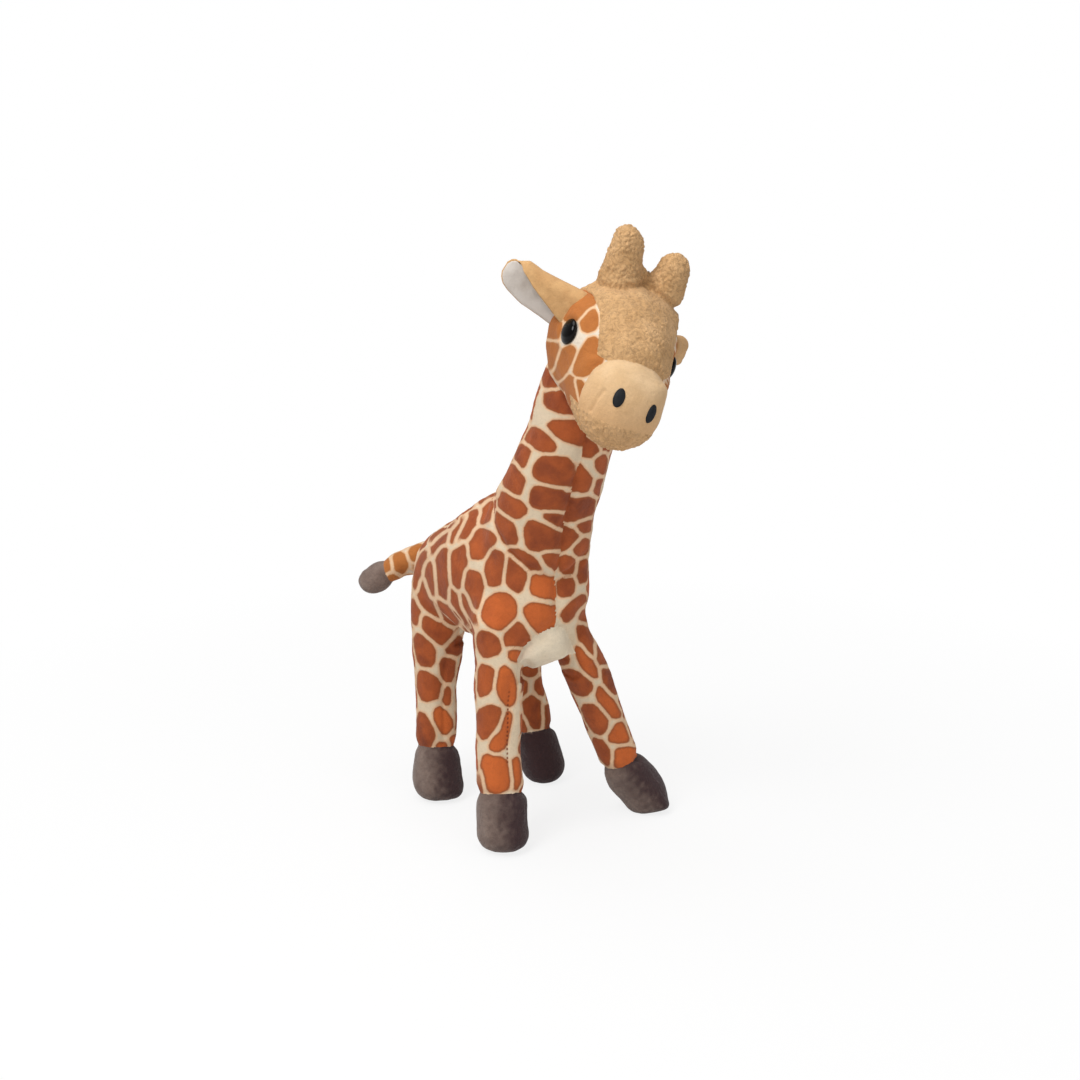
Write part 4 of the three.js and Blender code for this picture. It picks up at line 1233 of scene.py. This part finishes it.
# The body's cloths
means = face_means(body.data, list(fields))
f_leg = {leg: means[f"leg_{leg}"] > 0 for leg in LEGS}
f_hoof = {leg: means[f"hoof_{leg}"] > 0 for leg in LEGS}
f_legs = np.any(list(f_leg.values()), axis=0)
f_tail = means["tail"] > 0
f_neck = (means["neck"] > 0) & ~f_legs & ~f_tail
f_left = means["left"] > 0
f_torso = ~f_legs & ~f_tail & ~f_neck
f_belly = (means["belly"] > 0) & f_torso
neck_low = NECK_HINGE + NECK_LINE * 4 * MM
neck_bends = ("torso", neck_low, neck_low + NECK_LINE * 42 * MM)
tail_low = TAIL_HINGE + TAIL_HEADING * (TAIL_START + 5 * MM)
tail_bends = ("torso", tail_low, tail_low + TAIL_HEADING * 19 * MM)
leg_bends = {}
for leg in LEGS:
    hinge, line, _ = (Vector(part) if np.ndim(part) else part for part in leg_line(leg))
    leg_bends[leg] = ("torso", hinge + line * LEG_START, hinge + line * (LEG_START + LEG_BEND))
panels = {
    "torso_panel_right": (f_torso & ~f_belly & ~f_left, PRINT, "printed_plush", "neck", neck_bends),
    "torso_panel_left": (f_torso & ~f_belly & f_left, PRINT, "printed_plush", "neck", neck_bends),
    "belly_panel": (f_belly, CREAM, "cream_plush", "torso", None),
    "neck_panel_right": (f_neck & ~f_left, PRINT, "printed_plush", "neck", neck_bends),
    "neck_panel_left": (f_neck & f_left, PRINT, "printed_plush", "neck", neck_bends),
    "tail_cover": (
        f_tail & (means["tail_tip"] <= 0), BRIGHT_PRINT, "bright_printed_plush", "tail", tail_bends
    ),
    "tail_tip": (means["tail_tip"] > 0, DARK, "dark_plush", "tail", None),
}
for leg in LEGS:
    panels[f"leg_cover_{leg}"] = (
        f_leg[leg] & ~f_hoof[leg], PRINT, "printed_plush", f"leg_{leg}", leg_bends[leg]
    )
    panels[f"hoof_{leg}"] = (f_hoof[leg], DARK, "dark_plush", f"leg_{leg}", None)
for name, (chosen, material, slot, rides, bends) in panels.items():
    finish(cloth_piece(name + "_cloth", body, chosen), [name], material, rides, bends)

# The head's cloths
means = face_means(head.data, list(head_fields(points[:1])))
f_horns = {side: means[f"horn_{side}"] > 0 for side in HORN_FEET}
f_horn = f_horns["left"] | f_horns["right"]
f_chin = (means["chin"] > 0) & ~f_horn
f_muzzle = (means["muzzle"] > 0) & ~f_chin
f_forehead = (means["forehead"] > 0) & ~f_muzzle & ~f_chin & ~f_horn
f_cover = ~f_chin & ~f_muzzle & ~f_forehead & ~f_horn
for name, chosen, material, slot in (
    ("head_cover", f_cover, BRIGHT_PRINT, "bright_printed_plush"),
    ("forehead_panel", f_forehead, TAN, "tan_plush"),
    ("muzzle", f_muzzle, MUZZLE, "muzzle_plush"),
    ("chin_panel", f_chin, CHIN, "tan_plush"),
    ("horn_left", f_horns["left"], TAN, "tan_plush"),
    ("horn_right", f_horns["right"], TAN, "tan_plush"),
):
    finish(cloth_piece(name + "_cloth", head, chosen), [name], material, "head")

# Ears: a tan back and a pale lining, folded along the top edge, each a thin closed leaf
EAR_LENGTH = 35 * MM
EAR_WIDTH = 21 * MM
EAR_FOLD = 3.6 * MM
EAR_SINK = 5 * MM
# Along an ear from its root, as shares: how far out, how wide, and how much of it the front flap covers
EAR_SHARES = [
    (-0.22, 0.8, 0.86), (0, 0.9, 0.78), (0.17, 0.86, 0.68), (0.33, 0.81, 0.56), (0.5, 0.77, 0.42),
    (0.67, 0.74, 0.27), (0.83, 0.68, 0.14), (0.93, 0.57, 0.06), (0.98, 0.42, 0.04), (1.01, 0.22, 0.04),
]
EAR_DROOP = [(0, 1.2), (0.6, 1.8), (1, -0.4)]  # how far below its hinge's line the ear hangs, in mm
# Each ear: its side, how far back and how far up it points, and how much it is pinched at its foot
EARS = {"right": (-1, 20, 10, 0), "left": (1, 53, -25, 1)}
EAR_ROWS = 44
EAR_COLUMNS = 56
EAR_BACK_LAYER = (-2.1 * MM, -0.1 * MM)  # between which heights over the middle sheet
EAR_LINING_LAYER = (0.1 * MM, 1.4 * MM)
EAR_LINING_INSET = 0.5 * MM


def ear_frame(side):
    sign, back_deg, lift_deg, _ = EARS[side]
    back, lift = math.radians(back_deg), math.radians(lift_deg)
    outwards = (sign * math.cos(back) * math.cos(lift), math.sin(back), math.cos(back) * math.sin(lift))
    outwards = head_way(outwards).normalized()
    upright = (HEAD_UP - outwards * HEAD_UP.dot(outwards)).normalized()
    front = outwards.cross(upright) * sign
    return HINGES[f"ear_flop_{side}"] - outwards * EAR_SINK, outwards, upright, front


def ear_section(width, front_share, sharp):
    """Places across a folded ear, down and forwards, with the way into its hollow at each."""
    fold = min(EAR_FOLD * sharp, 0.42 * width)
    top = fold - width / 2
    front_edge = (front_share - 0.5) * width
    front_run = max(front_edge - top, 0.2 * MM)
    rear_run = width / 2 - top
    arc = math.pi * fold
    total = front_run + arc + rear_run
    section = []
    for i in range(EAR_COLUMNS + 1):
        s = total * i / EAR_COLUMNS
        if s < front_run:
            splay = 0.9 * MM * (1 - s / front_run) ** 2
            section.append((top + front_run - s, fold + splay, 0.0, -1.0))
        elif s < front_run + arc:
            turn = (s - front_run) / fold
            section.append((
                top - fold * math.sin(turn), fold * math.cos(turn), math.sin(turn), -math.cos(turn)
            ))
        else:
            run = s - front_run - arc
            section.append((top + run, -fold - 0.8 * MM * (run / rear_run) ** 2, 0.0, 1.0))
    return section


def ear_leaf(name, side, low, high, inset):
    """One closed leaf of an ear, between two heights over its middle sheet."""
    origin, outwards, upright, front = ear_frame(side)
    places, widths, shares = zip(*EAR_SHARES)
    top, bottom, faces = [], [], []
    for i in range(EAR_ROWS + 1):
        foot = places[0] * (1 - 0.7 * EARS[side][3])
        u = foot + i / EAR_ROWS * (places[-1] - foot)
        share = np.interp(u, places, shares)
        pinch = EARS[side][3] * np.interp(u, [0.25, 0.65], [1, 0])
        share += (1 - share) * pinch
        width = np.interp(u, places, widths) * EAR_WIDTH * (1 - 0.55 * pinch)
        width = max(width - 2 * inset, 1.5 * MM)
        droop = np.interp(u, *zip(*EAR_DROOP)) * MM
        sharp = np.interp(u, [0.45, 0.9], [1, 0.35])
        # The fold opens out towards the tip
        flat = np.interp(u, [0.78, 0.95], [0, 1])
        for j, folded in enumerate(ear_section(width, share, sharp)):
            opened = np.array(((j / EAR_COLUMNS - 0.5) * width, -EAR_FOLD * sharp, 0, 1))
            down, forward, into_down, into_front = (1 - flat) * np.array(folded) + flat * opened
            v = 2 * j / EAR_COLUMNS - 1
            w = i / EAR_ROWS
            full = (1 - abs(v) ** 14) ** 0.5 * (1 - w ** 24) ** 0.5 * (1 - (1 - w) ** 24) ** 0.5
            for height, side_points in ((low, bottom), (high, top)):
                h = (low + high) / 2 + (height - (low + high) / 2) * full
                place = origin + outwards * (u * (EAR_LENGTH - inset))
                place = place - upright * (down + droop + h * into_down)
                place = place + front * (forward + h * into_front)
                side_points.append(place)
    row = EAR_COLUMNS + 1
    count = len(top)
    rim = {
        i * row + j
        for i in range(EAR_ROWS + 1)
        for j in range(row)
        if i in (0, EAR_ROWS) or j in (0, EAR_COLUMNS)
    }
    for i in range(EAR_ROWS):
        for j in range(EAR_COLUMNS):
            a = i * row + j
            quad = (a, a + 1, a + row + 1, a + row)
            faces.append(quad)
            faces.append(tuple(c if c in rim else c + count for c in reversed(quad)))
    points = np.array([tuple(p) for p in top + bottom])
    points += 0.12 * MM * lumps(points, 5 * MM, 31)[:, None] * np.array(front)
    mesh = bpy.data.meshes.new(name)
    mesh.from_pydata(points.tolist(), [], faces)
    shape = bmesh.new()
    shape.from_mesh(mesh)
    loose = [v for v in shape.verts if not v.link_faces]
    bmesh.ops.delete(shape, geom=loose, context="VERTS")
    bmesh.ops.recalc_face_normals(shape, faces=shape.faces)
    shape.to_mesh(mesh)
    shape.free()
    smooth_faces(mesh)
    return object_of(name, mesh)


for side in ("left", "right"):
    _, outwards, _, _ = ear_frame(side)
    hinge = HINGES[f"ear_flop_{side}"]
    bends = ("head", hinge - outwards * 1 * MM, hinge + outwards * 9 * MM)
    back = ear_leaf(f"ear_back_{side}_cloth", side, *EAR_BACK_LAYER, 0)
    finish(back, [f"ear_back_{side}"], TAN_FLAT, f"ear_{side}", bends)
    lining = ear_leaf(f"ear_lining_{side}_cloth", side, *EAR_LINING_LAYER, EAR_LINING_INSET)
    finish(lining, [f"ear_lining_{side}"], LINING, f"ear_{side}", bends)


# Eyes: a lathed dome with a stem that its washer holds
def lathe(name, profile, at, heading, steps=48):
    """A closed turned solid: its profile runs from the axis to the axis, as radius and height."""
    turn = heading.to_track_quat("Z", "Y").to_matrix()
    points, faces = [], []
    for radius, height in profile[1:-1]:
        for i in range(steps):
            angle = 2 * math.pi * i / steps
            points.append(at + turn @ Vector((radius * math.cos(angle), radius * math.sin(angle), height)))
    rings = len(profile) - 2
    for ring in range(rings - 1):
        for i in range(steps):
            a, b = ring * steps + i, ring * steps + (i + 1) % steps
            faces.append((a, b, b + steps, a + steps))
    for end, ring, flip in ((profile[0], 0, True), (profile[-1], rings - 1, False)):
        points.append(at + turn @ Vector((0, 0, end[1])))
        for i in range(steps):
            a, b = ring * steps + i, ring * steps + (i + 1) % steps
            faces.append((b, a, len(points) - 1) if flip else (a, b, len(points) - 1))
    return solid_of(name, [tuple(p) for p in points], faces)


EYE_DOME = 2.5 * MM
EYE_TURN = math.radians(3)  # forwards
EYE_STEM = [(0, -7 * MM), (1.6 * MM, -7 * MM), (1.6 * MM, -0.9 * MM), (EYE_RADIUS - 0.4 * MM, -0.9 * MM)]
for side, sign in (("left", 1), ("right", -1)):
    heading = head_way((sign * math.cos(EYE_TURN), -math.sin(EYE_TURN), 0))
    at = eyes[side] - heading * 0.6 * MM
    profile = list(EYE_STEM)
    for i in range(17):
        turn = i / 16 * math.pi / 2
        profile.append((EYE_RADIUS * math.cos(turn), EYE_DOME * math.sin(turn)))
    profile[-1] = (0, EYE_DOME)
    eye = lathe(f"eye_{side}_dome", profile, at, heading)
    finish_hard(eye, f"eye_{side}", GLOSS)

# Nostrils: padded ovals of satin stitches that lie on the muzzle
NOSTRIL_HALF_WIDTH = 2.1 * MM
NOSTRIL_HALF_HEIGHT = 3.9 * MM
NOSTRIL_TILT = math.radians(7)
NOSTRILS = {"left": (8 * MM, -11.6 * MM), "right": (-7.5 * MM, -9.8 * MM)}
NOSTRIL_HEIGHT = 0.9 * MM
NOSTRIL_RINGS = 14
NOSTRIL_STEPS = 64
STITCH = 0.55 * MM
head_tree = tree_of(head)
for side, (middle_x, middle_z) in NOSTRILS.items():
    points, faces = [], []
    for layer in (1, 0):
        for ring in range(NOSTRIL_RINGS, 0, -1) if layer else range(1, NOSTRIL_RINGS):
            share = ring / NOSTRIL_RINGS
            for i in range(NOSTRIL_STEPS):
                angle = 2 * math.pi * i / NOSTRIL_STEPS
                dx = NOSTRIL_HALF_WIDTH * share * math.cos(angle)
                dz = NOSTRIL_HALF_HEIGHT * share * math.sin(angle)
                x = middle_x + dx * math.cos(NOSTRIL_TILT) + dz * math.sin(NOSTRIL_TILT)
                z = middle_z - dx * math.sin(NOSTRIL_TILT) + dz * math.cos(NOSTRIL_TILT)
                at, normal = on_head(x, 0, z, (0, -1, 0))
                ridge = 0.09 * MM * math.sin(2 * math.pi * dz / STITCH)
                if layer:
                    height = NOSTRIL_HEIGHT * (1 - share ** 3) ** 0.5 + ridge
                else:
                    height = -0.8 * MM * (1 - share)
                points.append(tuple(at + normal * height))
    # The rings run from the rim over the top to the middle, and from the middle's underside back to the rim
    starts = range(0, len(points), NOSTRIL_STEPS)
    rings = [list(range(start, start + NOSTRIL_STEPS)) for start in starts]
    tops, unders = rings[:NOSTRIL_RINGS], rings[NOSTRIL_RINGS:]
    bands = list(zip(tops, tops[1:])) + list(zip(unders, unders[1:])) + [(unders[-1], tops[0])]
    for first, second in bands:
        for i in range(NOSTRIL_STEPS):
            j = (i + 1) % NOSTRIL_STEPS
            faces.append((first[i], first[j], second[j], second[i]))
    faces.append(tuple(tops[-1]))
    faces.append(tuple(reversed(unders[0])))
    nostril = solid_of(f"nostril_{side}_stitches", points, faces)
    finish_hard(nostril, f"nostril_{side}", THREAD)
    washer = frame["nodes"][f"eye_washer_{side}"].data
    washer.materials.clear()
    washer.materials.append(WASHER)

# Fillings: each CAD form, softened
fillings = {"torso_filling": ("torso", None), "head_filling": ("head", None)}
fillings["neck_filling"] = ("neck", neck_bends)
fillings["tail_filling"] = ("tail", tail_bends)
for side in ("left", "right"):
    fillings[f"horn_filling_{side}"] = ("head", None)
for leg in LEGS:
    fillings[f"leg_filling_{leg}"] = (f"leg_{leg}", leg_bends[leg])
for name, (rides, bends) in fillings.items():
    made = joined([name])
    remesh(made, (1.2 if "horn" in name else 2.5) * MM)
    relax(made, 4)
    push(made, -0.8 * MM)
    if rides != "head":
        put_points(made.data, reshaped(points_of(made.data)))
    made.name = name + "_fibre"
    smooth_faces(made.data)
    finish(made, [name], FILLING, rides, bends)

for obj in (body, head):
    bpy.data.objects.remove(obj)

# Floor, backdrop and light
FLOOR_RADIUS = 6.0
bpy.ops.mesh.primitive_circle_add(vertices=96, radius=FLOOR_RADIUS, fill_type="NGON")
floor = bpy.context.active_object
floor.name = "floor"


def surface_nodes(owner, output):
    """The emptied nodes of a material or world, and its output's surface."""
    owner.use_nodes = True
    owner.node_tree.nodes.clear()
    return owner.node_tree, node(owner.node_tree, output).inputs["Surface"]


def shown_apart(tree, end, plain, shown, rays, share=None):
    """Shows one shader to some kinds of ray, by a share of it, and another to the rest."""
    path = node(tree, "ShaderNodeLightPath").outputs
    looks = path[rays[0]]
    for ray in rays[1:]:
        looks = math_node(tree, "MAXIMUM", looks, path[ray])
    if share:
        looks = math_node(tree, "MULTIPLY", looks, share)
    both = node(tree, "ShaderNodeMixShader", looks, plain.outputs[0], shown.outputs[0])
    plug(tree, end, both.outputs[0])


floor_material = bpy.data.materials.new("floor")
tree, end = surface_nodes(floor_material, "ShaderNodeOutputMaterial")
diffuse = node(tree, "ShaderNodeBsdfDiffuse", Color=(0.8, 0.8, 0.8, 1))
veil = node(tree, "ShaderNodeEmission", Color=WHITE, Strength=1.0)
place = node(tree, "ShaderNodeTexCoord").outputs["Object"]
distance = node(tree, "ShaderNodeVectorMath", place, operation="LENGTH").outputs["Value"]
fade = spread(tree, distance, 0.08, 0.45, 0.82, 1.0)
shown_apart(tree, end, diffuse, veil, ["Is Camera Ray", "Is Glossy Ray", "Is Transmission Ray"], fade)
floor.data.materials.append(floor_material)

world = bpy.data.worlds.new("world")
scene.world = world
tree, end = surface_nodes(world, "ShaderNodeOutputWorld")
dim = node(tree, "ShaderNodeBackground", Color=(1.0, 0.99, 0.98, 1), Strength=0.42)
white = node(tree, "ShaderNodeBackground", Color=WHITE, Strength=1.0)
shown_apart(tree, end, dim, white, ["Is Camera Ray", "Is Transmission Ray"])


def lamp(name, at, size, power):
    data = bpy.data.lights.new(name, "AREA")
    data.shape = "DISK"
    data.size = size
    data.energy = power
    made = bpy.data.objects.new(name, data)
    made.location = at
    made.rotation_euler = (Vector(at) - AIM).to_track_quat("Z", "Y").to_euler()
    scene.collection.objects.link(made)


lamp("key", EYE_AT - RIGHT * 0.45 + UP * 0.65, 0.5, 7.7)
lamp("fill", EYE_AT + RIGHT * 0.8 + UP * 0.1, 0.9, 2.0)
lamp("top", AIM + Vector((-0.1, 0.0, 1.0)), 0.7, 4.5)

scene.view_settings.view_transform = "Standard"
